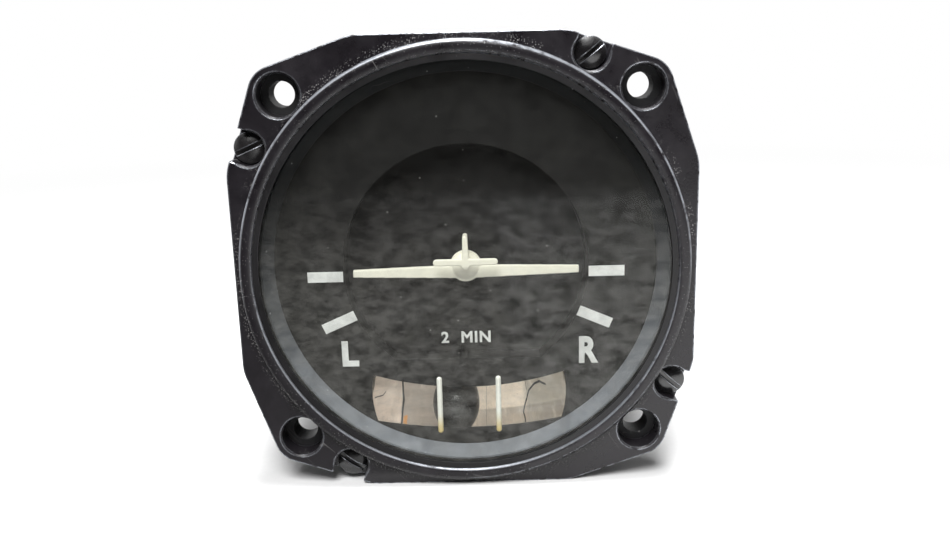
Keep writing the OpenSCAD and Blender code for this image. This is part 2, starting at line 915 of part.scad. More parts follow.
module rear_screws() {
    color("#9ea1a4")
        at_each(rear_screw_places)
            rear_facing(cover_back)
                screw(cover_screw_d, 2 * cover_screw_d, 1.8, 0, rear_screw_len, 0.8, 35);
}

module data_plate() {
    color("#b4b6b8")
        slab(cover_back, cover_back + label_t)
            difference() {
                translate([-plate_w / 2, -label_drop - plate_h / 2])
                    square([plate_w, plate_h]);
                for (p = rivet_places)
                    translate(p) circle(0.8 + fit_clear, $fn = 24);
            }
}

module plate_rivets() {
    color("#8f9194")
        at_each(rivet_places)
            rear_facing(cover_back + label_t)
                screw(1.6, 3, 0.8, 0, label_t + cover_t, 0.01, 0);
}

module connector_shell() {
    turns = floor((plug_len - plug_flange_t - 3) / thread_pitch);
    color("#7d8072")
        difference() {
            union() {
                slab(cover_back, cover_back + plug_flange_t)
                    difference() {
                        translate([-plug_flange_w / 2, plug_z - plug_flange_w / 2])
                            square(plug_flange_w);
                        for (p = plug_screw_places)
                            translate(p) circle(plug_screw_d / 2 + seat_clear, $fn = 24);
                    }
                translate([0, 0, plug_z])
                    turned()
                        polygon(concat(
                            [[0, cover_front - 1], [plug_d / 2 - 0.5, cover_front - 1]],
                            [[plug_d / 2 - 0.5, cover_back + plug_flange_t]],
                            [
                                for (i = [0:turns - 1], e = [[-0.5, 0.25], [0, 0.75]])
                                    [
                                        plug_d / 2 + e[0],
                                        cover_back + plug_flange_t + 1 + (i + e[1]) * thread_pitch
                                    ]
                            ],
                            [[plug_d / 2 - 0.5, plug_back - 0.8], [plug_d / 2 - 1, plug_back], [0, plug_back]]
                        ));
            }
            translate([0, 0, plug_z]) {
                bar_y(2 * plug_cavity_r, insert_back, plug_back + cut);
                bar_y(2 * (plug_cavity_r - 0.6), cover_front - 2, insert_back + cut);
            }
        }
}

pin_places = [for (i = [0:plug_pins - 1]) [0, plug_z] + turn([0, plug_pin_circle / 2], i * 360 / plug_pins)];

module connector_insert() {
    color("#5d5f63")
        difference() {
            translate([0, 0, plug_z])
                bar_y(2 * (plug_cavity_r - 0.6 - fit_clear), insert_front, insert_back);
            at_each(pin_places)
                bar_y(plug_pin_d + 2 * fit_clear, insert_front - cut, insert_back + cut);
        }
}

module connector_pins() {
    color("#c9a544")
        at_each(pin_places) {
            bar_y(plug_pin_d, insert_front - pin_tail, insert_back + pin_len - plug_pin_d / 2);
            translate([0, insert_back + pin_len - plug_pin_d / 2, 0])
                sphere(d = plug_pin_d, $fn = 24);
        }
}

module connector_screws() {
    color("#a2a5a8")
        at_each(plug_screw_places)
            rear_facing(cover_back + plug_flange_t)
                screw(plug_screw_d, 2 * plug_screw_d - 0.2, 1.4, 0, plug_flange_t + cover_t - 0.2, 0.6, 60);
}

module chassis_front_plate() {
    color("#a9adb2")
        difference() {
            union() {
                slab(plate_front, plate_back) circle(plate_r, $fn = 256);
                slab(plate_front, floor_back) recess_shape(cup_wall);
            }
            slab(plate_front - cut, floor_front) recess_shape(0);
            bar_y(shaft_d + 1.2, floor_front - cut, floor_back + cut);
            bar_y(pointer_race_d + 2 * fit_clear, floor_front - cut, floor_front + race_t);
            along_bend(tube_half_angle + 0.3)
                translate([-opening_half_h, -tube_d])
                    square([2 * opening_half_h, 2 * tube_d]);
            slab(plate_front - cut, plate_back + cut) slot_shape(0.3);
            at_each(post_places) {
                bar_y(2.6, plate_front - cut, plate_back + cut);
                bar_y(5, plate_front - cut, plate_front + 1.1);
            }
        }
}

module chassis_posts() {
    color("#c0c3c6")
        difference() {
            at_each(post_places) bar_y(post_d, plate_back, rear_plate_front);
            at_each(post_places) {
                bar_y(2.4 + 2 * fit_clear, plate_back - cut, plate_back + 7);
                bar_y(2.4 + 2 * fit_clear, rear_plate_front - 7, rear_plate_front + cut);
            }
        }
}

module chassis_rear_plate() {
    color("#a9adb2")
        difference() {
            bar_y(2 * rear_plate_r, rear_plate_front, rear_plate_back);
            at_each(post_places) bar_y(2.6, rear_plate_front - cut, rear_plate_back + cut);
            translate([lead_hole[0], 0, lead_hole[1]])
                bar_y(8, rear_plate_front - cut, rear_plate_back + cut);
            at_each(standoff_places) bar_y(2.2, rear_plate_front - cut, rear_plate_back + cut);
        }
}

module chassis_screws() {
    color("#8d9093") {
        at_each(post_places) screw(2.4, 4.8, 1.0, plate_front + 1.1, plate_front + 7, 0.6, 20);
        at_each(post_places)
            rear_facing(rear_plate_back) screw(2.4, 4.8, 1.5, 0, rear_plate_t + 5, 0.6, 70);
    }
}

// Each bracket reaches from its plate to a boss that holds the gimbal bearing
module pivot_bracket(toward) {
    from = toward < 0 ? floor_back : rear_plate_front;
    mid_z = -toward * (bearing_from + bearing_t / 2) * sin(tilt);
    mid_y = gimbal_y + toward * bearing_from * cos(tilt);
    difference() {
        union() {
            intersection() {
                union() {
                    box(
                        [-beam_w / 2, min(from, mid_y - 4), mid_z - beam_h / 2],
                        [beam_w / 2, max(from, mid_y + 4), mid_z + beam_h / 2]
                    );
                    box(
                        [-beam_w / 2 - 4, min(from, from - toward * 3), mid_z - beam_h / 2 - 1.8],
                        [beam_w / 2 + 4, max(from, from - toward * 3), mid_z + beam_h / 2 + 3]
                    );
                }
                in_gimbal()
                    rotate([0, 0, toward < 0 ? 180 : 0])
                        box([-40, bearing_from, -60], [40, 90, 60]);
            }
            in_gimbal()
                rotate([0, 0, toward < 0 ? 180 : 0]) {
                    bar_y(2 * boss_r, bearing_from, bearing_from + bearing_t + boss_back);
                    if (toward < 0)
                        box(
                            [-spring_arm_half, bearing_from + 2, 0],
                            [spring_arm_half, spring_arm_front, pad_top]
                        );
                }
        }
        in_gimbal()
            rotate([0, 0, toward < 0 ? 180 : 0]) {
                bar_y(gimbal_race_d + 2 * fit_clear, bearing_from - cut, bearing_from + bearing_t);
                bar_y(pivot_d + 1.5, bearing_from, bearing_from + bearing_t + boss_back + 3);
            }
    }
}

module front_pivot_bracket() { color("#8f959b") pivot_bracket(-1); }

module rear_pivot_bracket() { color("#8f959b") pivot_bracket(1); }

module both_ends() {
    in_gimbal()
        for (a = [0, 180])
            rotate([0, 0, a])
                children();
}

module gimbal_bearings() {
    color("#c4c7cb")
        both_ends()
            race(gimbal_race_d, pivot_d + 2 * run_clear, bearing_from, bearing_t);
}

module gimbal_pivots() {
    color("#b2b5b9")
        both_ends()
            bar_y(pivot_d, bar_in_y + 0.5, bearing_from + bearing_t + boss_back);
}

module gimbal_frame() {
    color("#b7babd")
        difference() {
            union() {
                in_gimbal() {
                    difference() {
                        box([-bar_out_x, -bar_out_y, -bar_h / 2], [bar_out_x, bar_out_y, bar_h / 2]);
                        box([-bar_in_x, -bar_in_y, -bar_h], [bar_in_x, bar_in_y, bar_h]);
                    }
                    box([-2.5, bar_in_y + 0.4, 0], [2.5, bar_out_y, damper_r + 2]);
                }
                box([-arm_half, arm_front, -arm_tip], [arm_half, arm_front + arm_t, arm_top]);
            }
            both_ends() bar_y(pivot_d + 2 * fit_clear, bar_in_y + 0.5, bar_out_y + cut);
            in_gimbal() {
                bar_x(axle_d + 2 * fit_clear, -bar_out_x - cut, bar_out_x + cut);
                translate([0, 0, damper_r])
                    bar_y(damper_pin_d + 2 * fit_clear, bar_in_y - cut, bar_out_y + cut);
                translate([0, spring_y, bar_h / 2 - 3])
                    cylinder(d = spring_post_d + 2 * fit_clear, h = 3 + cut);
            }
            translate([0, 0, -fork_r])
                bar_y(drive_pin_d + 2 * fit_clear, arm_front - cut, arm_front + arm_t + cut);
        }
}

module drive_pin() {
    color("#d0d2d4")
        translate([0, 0, -fork_r]) {
            bar_y(drive_pin_d, fork_y, arm_front + arm_t);
            translate([0, fork_y, 0]) sphere(d = drive_ball_d, $fn = 32);
        }
}

module rotor_axle() {
    color("#b9bcc0")
        in_gimbal()
            bar_x(axle_d, -bar_out_x - 3.6, bar_out_x + 3.6);
}

module axle_nuts() {
    color("#a6a9ac")
        in_gimbal()
            for (side = [0, 1])
                mirror([side, 0, 0])
                    difference() {
                        translate([bar_out_x, 0, 0])
                            rotate([0, 90, 0])
                                cylinder(d = axle_d + 3.5, h = 2.6, $fn = 6);
                        bar_x(axle_d + 2 * fit_clear, bar_out_x - cut, bar_out_x + 4);
                    }
}

rotor_race_d = axle_d + 4.4;
rotor_race_t = 3;
rotor_rim = 4;
rotor_web = 3.2;
end_cover_t = 3.2;
rotor_in_d = rotor_d - 2 * rotor_rim;

module rotor_bearings() {
    color("#c4c7cb")
        in_gimbal() {
            bar_ring_x(rotor_race_d, axle_d + 2 * fit_clear, rotor_w / 2 - rotor_race_t, rotor_w / 2);
            bar_ring_x(rotor_race_d, axle_d + 2 * fit_clear, -rotor_w / 2, rotor_race_t - rotor_w / 2);
        }
}

module bar_ring_x(d_out, d_in, from, to) {
    difference() {
        bar_x(d_out, from, to);
        bar_x(d_in, from - cut, to + cut);
    }
}

module gyro_rotor() {
    color("#a98d4a")
        in_gimbal()
            difference() {
                bar_x(rotor_d, -rotor_w / 2, rotor_w / 2);
                bar_x(rotor_in_d, -rotor_w / 2 - cut, rotor_w / 2 - rotor_web);
                bar_x(rotor_race_d + 2 * run_clear, -rotor_w / 2 - cut, rotor_w / 2 + cut);
                for (a = [0:60:300])
                    rotate([a, 0, 0])
                        translate([0, rotor_r - rotor_rim / 2, 0])
                            bar_x(1.8, rotor_w / 2 - 1.5, rotor_w / 2 + cut);
            }
}

module rotor_end_cover() {
    color("#bb9f5c")
        in_gimbal()
            bar_ring_x(
                rotor_in_d - 2 * fit_clear, rotor_race_d + 2 * run_clear,
                -rotor_w / 2, end_cover_t - rotor_w / 2
            );
}

stator_from = end_cover_t - rotor_w / 2 + 2.5;
stator_to = rotor_w / 2 - rotor_web - 2.5;
stator_d = rotor_in_d - 1.2;
stator_poles = 6;
pole_half = 1.6;
winding_half = 3;
winding_end = 1.2;

module stator_core() {
    color("#6d7076")
        in_gimbal()
            difference() {
                union() {
                    bar_x(stator_d * 0.45, stator_from, stator_to);
                    intersection() {
                        bar_x(stator_d, stator_from, stator_to);
                        for (a = [0:360 / stator_poles:359])
                            rotate([a, 0, 0])
                                box([stator_from, -pole_half, 0], [stator_to, pole_half, stator_d]);
                    }
                }
                bar_x(axle_d + 2 * fit_clear, stator_from - cut, stator_to + cut);
            }
}

module stator_windings() {
    color("#a4552c")
        in_gimbal()
            for (a = [0:360 / stator_poles:359])
                rotate([a, 0, 0])
                    difference() {
                        box(
                            [stator_from - winding_end, -winding_half, stator_d * 0.3],
                            [stator_to + winding_end, winding_half, stator_d * 0.42]
                        );
                        box(
                            [stator_from - 0.05, -pole_half - 0.05, 0],
                            [stator_to + 0.05, pole_half + 0.05, stator_d]
                        );
                    }
}

module spring_arm() {
    low = spring_high + 0.05;
    high = low + spring_arm_t;
    half = spring_arm_half;
    color("#9a9ea3")
        in_gimbal()
            difference() {
                union() {
                    box([-half, -spring_arm_front, pad_top], [half, half - spring_arm_front, high]);
                    box([-half, -spring_arm_front, low], [half, spring_y + 2.2, high]);
                }
                translate([0, spring_y, low - cut])
                    cylinder(d = spring_wire + 2 * fit_clear, h = 1.2, $fn = 24);
            }
}

module spring_post() {
    color("#b2b5b9")
        in_gimbal()
            translate([0, spring_y, bar_h / 2 - 3])
                cylinder(d = spring_post_d, h = spring_low - 0.05 - bar_h / 2 + 3);
}

// The spring is one tube swept along a helix, with straight ends on its axis
ring_steps = 8;
lead = 1.4;
helix_h = spring_high - spring_low - 2 * lead;
helix_n = spring_curls * ring_steps;
function helix_point(i) =
    let (t = i / helix_n, a = 360 * i / ring_steps,
         ease = min(1, i / ring_steps, (helix_n - i) / ring_steps))
    [spring_coil_r * ease * cos(a), spring_coil_r * ease * sin(a), spring_low + lead + helix_h * t];
spring_path = concat(
    [[0, 0, spring_low], [0, 0, spring_low + lead / 2]],
    [for (i = [0:helix_n]) helix_point(i)],
    [[0, 0, spring_high - lead / 2], [0, 0, spring_high]]
);
spring_gap = min([
    for (i = [ring_steps:helix_n - 2 * ring_steps], j = [i + ring_steps - 2:i + ring_steps + 2])
        norm(helix_point(i) - helix_point(j)) - spring_wire
]);
function unit(v) = v / norm(v);
function tangent(p, i) = unit(p[min(i + 1, len(p) - 1)] - p[max(i - 1, 0)]);
function across(v, t) = unit(v - (v * t) * t);
function frames(p) = [
    for (i = 0, v = [1, 0, 0]; i < len(p); i = i + 1, v = across(v, tangent(p, min(i, len(p) - 1)))) v
];

module swept(path, r, sides) {
    side = frames(path);
    points = [
        for (i = [0:len(path) - 1], k = [0:sides - 1])
            let (t = tangent(path, i), u = across(side[i], t), w = cross(t, u))
            path[i] + r * (cos(360 * k / sides) * u + sin(360 * k / sides) * w)
    ];
    walls = [
        for (i = [0:len(path) - 2], k = [0:sides - 1])
            let (a = i * sides + k, b = i * sides + (k + 1) % sides)
            each [[a, a + sides, b], [b, a + sides, b + sides]]
    ];
    last = (len(path) - 1) * sides;
    ends = [
        for (k = [1:sides - 2])
            each [[0, k, k + 1], [last, last + k + 1, last + k]]
    ];
    polyhedron(points, concat(walls, ends), convexity = 10);
}

module centring_spring() {
    echo(least_gap_between_curls = spring_gap);
    color("#c7c9cb")
        in_gimbal()
            translate([0, spring_y, 0])
                swept(spring_path, spring_wire / 2, 6);
}

module damper_pin() {
    color("#d0d2d4")
        in_gimbal()
            translate([0, 0, damper_r])
                bar_y(damper_pin_d, bar_in_y + 0.4, yoke_y + 2);
}

module damper_piston() {
    slot_half = damper_pin_d / 2 + slot_clear;
    color("#b0b3b6")
        in_gimbal() {
            difference() {
                box(
                    [-slot_half - yoke_wall, yoke_y - yoke_t / 2, damper_r - yoke_past],
                    [slot_half + yoke_wall, yoke_y + yoke_t / 2, rod_z + yoke_wall]
                );
                box(
                    [-slot_half, yoke_y - yoke_t, damper_r - yoke_past - cut],
                    [slot_half, yoke_y + yoke_t, damper_r + damper_pin_d / 2 + 0.7]
                );
            }
            translate([0, yoke_y, rod_z]) {
                bar_x(rod_d, slot_half + yoke_wall - 0.1, piston_x);
                bar_x(damper_bore - 2 * run_clear, piston_x - piston_t / 2, piston_x + piston_t / 2);
            }
        }
}

module damper_cylinder() {
    color("#9fa3a7")
        in_gimbal()
            translate([0, yoke_y, rod_z])
                difference() {
                    bar_x(damper_d, damper_x, damper_x + 2 * cap_t + chamber);
                    bar_x(damper_bore, damper_x + cap_t, damper_x + cap_t + chamber);
                    bar_x(rod_d + 2 * run_clear, damper_x - cut, damper_x + cap_t + cut);
                }
}

module damper_bracket() {
    color("#8f959b")
        difference() {
            union() {
                translate([0, rod_world_y, rod_world_z])
                    bar_x(damper_d + 2 * clamp_wall, piston_x - clamp_w / 2, piston_x + clamp_w / 2);
                box(
                    [piston_x - clamp_w / 2, rod_world_y, rod_world_z - 3],
                    [piston_x + clamp_w / 2, rear_plate_front, rod_world_z + 3]
                );
            }
            translate([0, rod_world_y, rod_world_z])
                bar_x(damper_d + 2 * fit_clear, piston_x - clamp_w, piston_x + clamp_w);
        }
}

module board_standoffs() {
    color("#c0c3c6")
        at_each(standoff_places) bar_y(standoff_d, rear_plate_back, board_front);
}

module circuit_board() {
    color("#3f6b3a")
        slab(board_front, board_back)
            difference() {
                translate([-board_w / 2, -board_h / 2])
                    square([board_w, board_h]);
                for (p = standoff_places)
                    translate(p) circle(1.1, $fn = 24);
            }
}

// On the board: two round capacitors, two block parts and a row of small parts lying on their leads
can_d = 8;
can_h = 7;
can_x = -15;
can_z = 6;
block_w = 9;
block_t = 6;
block_x = 10;
resistor_d = 2.2;
resistor_len = 5.5;
resistor_pitch = 3.5;
resistor_z = -9;
board_lead_d = 0.6;

module board_parts() {
    color("#2d3a55") {
        translate([can_x, 0, -can_z]) bar_y(can_d, board_back, board_back + can_h);
        translate([can_x, 0, can_z]) bar_y(can_d * 0.62, board_back, board_back + can_h * 0.78);
        box([block_x, board_back, -block_w - 1], [block_x + block_w, board_back + block_t, -1]);
        box(
            [block_x + 1, board_back, can_z - 2],
            [block_x + block_w, board_back + block_t * 0.67, can_z - 2 + block_w * 0.55]
        );
        for (i = [0:3])
            translate([-5 + i * resistor_pitch, 0, resistor_z]) {
                translate([0, board_back + resistor_d / 2 + 0.1, 0])
                    cylinder(d = resistor_d, h = resistor_len);
                box(
                    [-board_lead_d / 2, board_back, -1],
                    [board_lead_d / 2, board_back + 1, resistor_len + 1]
                );
            }
    }
}

// A wire leaves one piece and enters the next square to it, along a smooth curve
function curve_point(a, b, way_a, way_b, t) =
    pow(1 - t, 3) * a + 3 * pow(1 - t, 2) * t * (a + way_a)
    + 3 * (1 - t) * t * t * (b - way_b) + pow(t, 3) * b;
function wire_path(a, b, way_a, way_b, steps) =
    let (from = a + lead_d * unit(way_a), to = b - lead_d * unit(way_b))
    concat([a], [for (i = [0:steps]) curve_point(from, to, way_a, way_b, i / steps)], [b]);

module lead_wires() {
    color("#b8b2a4")
        for (i = [0:plug_pins - 1])
            let (
                p = pin_places[i],
                x = (i - 1) * lead_pitch,
                plug_end = [p[0], insert_front - pin_tail - fit_clear, p[1]],
                board_end = [x + 5, board_back + fit_clear, p[1]],
                hole_back = [x + lead_hole[0], rear_plate_back, lead_hole[1]],
                hole_front = [x + lead_hole[0], rear_plate_front, lead_hole[1]],
                board_side = [x + lead_hole[0], board_front - fit_clear, board_h / 2 - 4],
                beam_side = [-beam_w / 2 - fit_clear, rear_plate_front - 9 + x, rear_beam_z]
            ) {
                swept(wire_path(plug_end, board_end, [0, -2, 0], [0, -2, 0], 6), lead_d / 2, 8);
                swept(
                    concat(
                        wire_path(board_side, hole_back, [0, -1.5, 0], [0, -1.5, 0], 5),
                        wire_path(hole_front, beam_side, [0, -12, 0], [10, 0, 0], 12)
                    ),
                    lead_d / 2, 8
                );
            }
}

bezel();
bezel_screws();
window_retaining_ring();
window_glass();
window_gasket();
reflector_ring();
dial_plate();
dial_marks();
recess_lining();
flange_seal();
miniature_aeroplane();
pointer_shaft();
pointer_fork();
pointer_bearings();
pointer_bridge();
inclinometer_tube();
inclinometer_ball();
tube_end_plugs();
tube_backing();
tube_holder();
reference_wires();
case();
rear_cover();
rear_gasket();
rear_screws();
data_plate();
plate_rivets();
connector_shell();
connector_insert();
connector_pins();
connector_screws();
chassis_front_plate();
chassis_posts();
chassis_rear_plate();
chassis_screws();
front_pivot_bracket();
rear_pivot_bracket();
gimbal_bearings();
stop_pins();
gimbal_frame();
gimbal_pivots();
drive_pin();
rotor_axle();
axle_nuts();
rotor_bearings();
stator_core();
stator_windings();
gyro_rotor();
rotor_end_cover();
spring_arm();
spring_post();
centring_spring();
damper_pin();
damper_piston();
damper_cylinder();
damper_bracket();
circuit_board();
board_parts();
board_standoffs();
lead_wires();
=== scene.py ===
"""Looks of a rate of turn indicator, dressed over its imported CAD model.

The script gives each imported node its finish, replaces the aeroplane figure by a softer moulded one and the
tube by a filled one, prints the dial, and sets up a small studio with the photograph's camera. All sizes
are in metres, in the frame of the model: Z up, X to the right, and the dial faces towards -Y.
"""

import logging
import math
from dataclasses import dataclass, field, replace
from enum import Enum
from typing import ClassVar, Mapping, Sequence, Union

import bpy
from mathutils import Matrix, Vector


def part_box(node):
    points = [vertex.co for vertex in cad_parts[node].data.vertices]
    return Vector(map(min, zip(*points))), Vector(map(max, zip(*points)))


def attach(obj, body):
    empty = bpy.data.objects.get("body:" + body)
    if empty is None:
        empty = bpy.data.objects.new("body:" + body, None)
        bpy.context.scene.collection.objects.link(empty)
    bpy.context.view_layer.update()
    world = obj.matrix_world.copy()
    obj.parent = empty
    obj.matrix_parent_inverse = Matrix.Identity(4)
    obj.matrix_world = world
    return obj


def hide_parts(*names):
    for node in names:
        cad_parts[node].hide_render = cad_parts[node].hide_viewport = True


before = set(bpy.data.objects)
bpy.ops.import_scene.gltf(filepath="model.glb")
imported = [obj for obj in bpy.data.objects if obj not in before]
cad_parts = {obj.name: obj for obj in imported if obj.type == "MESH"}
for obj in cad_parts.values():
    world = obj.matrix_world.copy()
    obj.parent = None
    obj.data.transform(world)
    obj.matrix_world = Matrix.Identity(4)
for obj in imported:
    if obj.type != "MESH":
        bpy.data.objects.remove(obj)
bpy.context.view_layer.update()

log = logging.getLogger("turn_indicator")

Colour = tuple[float, float, float]
Point = tuple[float, float, float]
Range = tuple[float, float]
Socket = bpy.types.NodeSocket
Sockets = Mapping[str, Socket]
Value = Union[float, Sequence[float], Socket]

MM = 0.001
WHITE: Colour = (255, 255, 255)
# The direction of X, and what keeps the X and Z of a vector: the plane of the dial.
ACROSS: Point = (1.0, 0.0, 0.0)
FACING: Point = (1.0, 0.0, 1.0)
# The middle of a noise, and ranges that hold most of its values.
MIDDLE = 0.5
NARROW: Range = (0.3, 0.7)
MEDIUM: Range = (0.25, 0.75)
WIDE: Range = (0.2, 0.8)
# How far the roughness of paint and metal strays below and above its own value.
SMOOTHER = 0.06
ROUGHER = 0.08
# The height of the centre round which the inclinometer tube is bent.
BEND_HEIGHT = 60.8 * MM


def linear(colour: Colour) -> tuple[float, float, float, float]:
    """Turns a colour as it shows on a screen into the shader's linear colour.

    Args:
        colour: Red, green and blue from 0 to 255.

    Returns:
        The linear colour with an alpha of 1.
    """
    shares = [tone / WHITE[0] for tone in colour]
    red, green, blue = (s / 12.92 if s <= 0.04045 else ((s + 0.055) / 1.055) ** 2.4 for s in shares)
    return red, green, blue, 1.0


class Sum(Enum):
    """Operations of a Math node that the finishes use."""

    ADD = "ADD"
    SUBTRACT = "SUBTRACT"
    MULTIPLY = "MULTIPLY"
    DIVIDE = "DIVIDE"
    LESS = "LESS_THAN"
    SIZE = "ABSOLUTE"
    HIGHER = "MAXIMUM"
    LOWER = "MINIMUM"
    SINE = "SINE"
    POWER = "POWER"


class Along(Enum):
    """Operations of a Vector Math node that the finishes use."""

    ADD = "ADD"
    SUBTRACT = "SUBTRACT"
    MULTIPLY = "MULTIPLY"
    DOT = "DOT_PRODUCT"
    LENGTH = "LENGTH"
    SCALE = "SCALE"


class Graph:
    """Adds nodes to one node tree and joins them."""

    def __init__(self, tree: bpy.types.NodeTree) -> None:
        """Keeps the tree that the nodes go into."""
        self.tree = tree

    def add(self, kind: str, **settings: object) -> bpy.types.Node:
        """Adds a node of one of Blender's types, with its own options."""
        node = self.tree.nodes.new(kind)
        for name, value in settings.items():
            setattr(node, name, value)
        return node

    def feed(self, socket: Socket, value: Value) -> None:
        """Joins an input to an output, or sets its value; a colour is given from 0 to 255."""
        if isinstance(value, Socket):
            self.tree.links.new(value, socket)
        else:
            socket.default_value = linear(value) if socket.type == "RGBA" else value

    def fill(self, node: bpy.types.Node, values: Mapping[str, Value]) -> None:
        """Joins or sets several inputs of a node, each named with underscores for spaces."""
        for name, value in values.items():
            self.feed(node.inputs[name.replace("_", " ")], value)

    def sum(self, operation: Sum, *values: Value) -> Socket:
        """Places a Math node.

        Args:
            operation: What the node does.
            values: Its one or two inputs.

        Returns:
            The node's output.
        """
        node = self.add("ShaderNodeMath", operation=operation.value)
        for socket, value in zip(node.inputs, values):
            self.feed(socket, value)
        return node.outputs[0]

    def chained(self, operation: Sum, numbers: Sequence[Value]) -> Socket:
        """Joins two or more numbers, one after the other, by one operation."""
        made = numbers[0]
        for number in numbers[1:]:
            made = self.sum(operation, made, number)
        return made

    def times(self, *numbers: Value) -> Socket:
        """The product of some numbers."""
        return self.chained(Sum.MULTIPLY, numbers)

    def plus(self, *numbers: Value) -> Socket:
        """The total of some numbers."""
        return self.chained(Sum.ADD, numbers)

    def less(self, whole: Value, part: Value) -> Socket:
        """One number less another."""
        return self.sum(Sum.SUBTRACT, whole, part)

    def higher(self, *numbers: Value) -> Socket:
        """The highest of some numbers."""
        return self.chained(Sum.HIGHER, numbers)

    def inverse(self, mask: Value) -> Socket:
        """One less a mask."""
        return self.less(1.0, mask)

    def ridges(self, across: Value, pitch: float) -> Socket:
        """The height, from 0 to 1, of round ridges that stand at a pitch along a number."""
        return self.sum(Sum.SIZE, self.sum(Sum.SINE, self.times(across, math.pi / pitch)))

    def along(self, operation: Along, *values: Value) -> Socket:
        """Places a Vector Math node.

        Args:
            operation: What the node does.
            values: Its vectors, and the number by which a vector is scaled.

        Returns:
            The number for a dot product or a length, and the vector for the rest.
        """
        node = self.add("ShaderNodeVectorMath", operation=operation.value)
        inputs = [node.inputs[0], node.inputs["Scale"]] if operation is Along.SCALE else list(node.inputs)
        for socket, value in zip(inputs, values):
            self.feed(socket, value)
        return node.outputs["Value" if operation in (Along.DOT, Along.LENGTH) else "Vector"]

    def scaled(self, vector: Value, by: Value) -> Socket:
        """A vector or colour times a number."""
        return self.along(Along.SCALE, vector, by)

    def stretched(self, vector: Value, by: Value) -> Socket:
        """A vector times another, number by number."""
        return self.along(Along.MULTIPLY, vector, by)

    def away(self, point: Value, start: Value) -> Socket:
        """The way from a start to a point."""
        return self.along(Along.SUBTRACT, point, start)

    def dot(self, one: Value, other: Value) -> Socket:
        """The dot product of two vectors."""
        return self.along(Along.DOT, one, other)

    def length(self, vector: Value) -> Socket:
        """The length of a vector."""
        return self.along(Along.LENGTH, vector)

    def blend(self, mask: Value, below: Value, above: Value) -> Socket:
        """Mixes two colours: a mask of 0 gives the first and 1 the second."""
        node = self.add("ShaderNodeMix", data_type="RGBA", clamp_factor=True)
        for place, value in ((0, mask), (6, below), (7, above)):
            self.feed(node.inputs[place], value)
        return node.outputs[2]

    def between(self, mask: Value, below: Value, above: Value) -> Socket:
        """Mixes two numbers: a mask of 0 gives the first and 1 the second."""
        node = self.add("ShaderNodeMix", data_type="FLOAT", clamp_factor=True)
        for place, value in ((0, mask), (2, below), (3, above)):
            self.feed(node.inputs[place], value)
        return node.outputs[0]

    def layered(self, mask: Value, below: Socket, above: Socket) -> Socket:
        """Mixes two shaders: a mask of 0 gives the first and 1 the second."""
        node = self.add("ShaderNodeMixShader")
        for socket, value in zip(node.inputs, (mask, below, above)):
            self.feed(socket, value)
        return node.outputs[0]

    def span(
        self, value: Value, low: Value, high: Value, to_low: Value = 0.0, to_high: Value = 1.0
    ) -> Socket:
        """Maps a number smoothly from one range to another and holds it there.

        Args:
            value: The number.
            low: Start of its range.
            high: End of its range.
            to_low: What the start becomes.
            to_high: What the end becomes.

        Returns:
            The mapped number.
        """
        node = self.add("ShaderNodeMapRange", interpolation_type="SMOOTHSTEP", clamp=True)
        names = ("Value", "From Min", "From Max", "To Min", "To Max")
        self.fill(node, dict(zip(names, (value, low, high, to_low, to_high))))
        return node.outputs["Result"]

    def place(self) -> Socket:
        """The place of the shaded point in its own object."""
        return self.add("ShaderNodeTexCoord").outputs["Object"]

    def parts(self, vector: Value) -> tuple[Socket, Socket, Socket]:
        """Splits a vector into its three numbers."""
        node = self.add("ShaderNodeSeparateXYZ")
        self.feed(node.inputs[0], vector)
        return node.outputs[0], node.outputs[1], node.outputs[2]

    def noise(
        self, where: Value, scale: Value, detail: float = 3.0, rough: float = 0.55, twist: float = 0.0
    ) -> Socket:
        """Places a noise texture.

        Args:
            where: The coordinates.
            scale: Waves to the metre.
            detail: Octaves.
            rough: Strength of the finer octaves.
            twist: Distortion.

        Returns:
            A number from 0 to 1.
        """
        node = self.add("ShaderNodeTexNoise")
        names = ("Vector", "Scale", "Detail", "Roughness", "Distortion")
        self.fill(node, dict(zip(names, (where, scale, detail, rough, twist))))
        return node.outputs["Fac"]

    def effect(self, group: "EffectGroup", **values: Value) -> Sockets:
        """Places a shared effect with its own values.

        Args:
            group: The effect.
            values: Its inputs, with an underscore for each space in their names.

        Returns:
            The outputs by name.
        """
        node = self.add("ShaderNodeGroup", node_tree=group.tree(), label=group.name)
        self.fill(node, values)
        return {socket.name: socket for socket in node.outputs}

    def principled(self, **values: Value) -> Socket:
        """Places a Principled shader, its inputs named with underscores for spaces."""
        node = self.add("ShaderNodeBsdfPrincipled")
        self.fill(node, values)
        return node.outputs[0]

    def normal(self) -> Socket:
        """The surface's own normal."""
        return self.add("ShaderNodeNewGeometry").outputs["Normal"]


class Port(Enum):
    """Kinds of socket on a shader node group."""

    VALUE = "NodeSocketFloat"
    VECTOR = "NodeSocketVector"


def numbers(*names: str) -> dict[str, Port]:
    """Ports that carry a number."""
    return dict.fromkeys(names, Port.VALUE)


def vectors(*names: str) -> dict[str, Port]:
    """Ports that carry a vector."""
    return dict.fromkeys(names, Port.VECTOR)


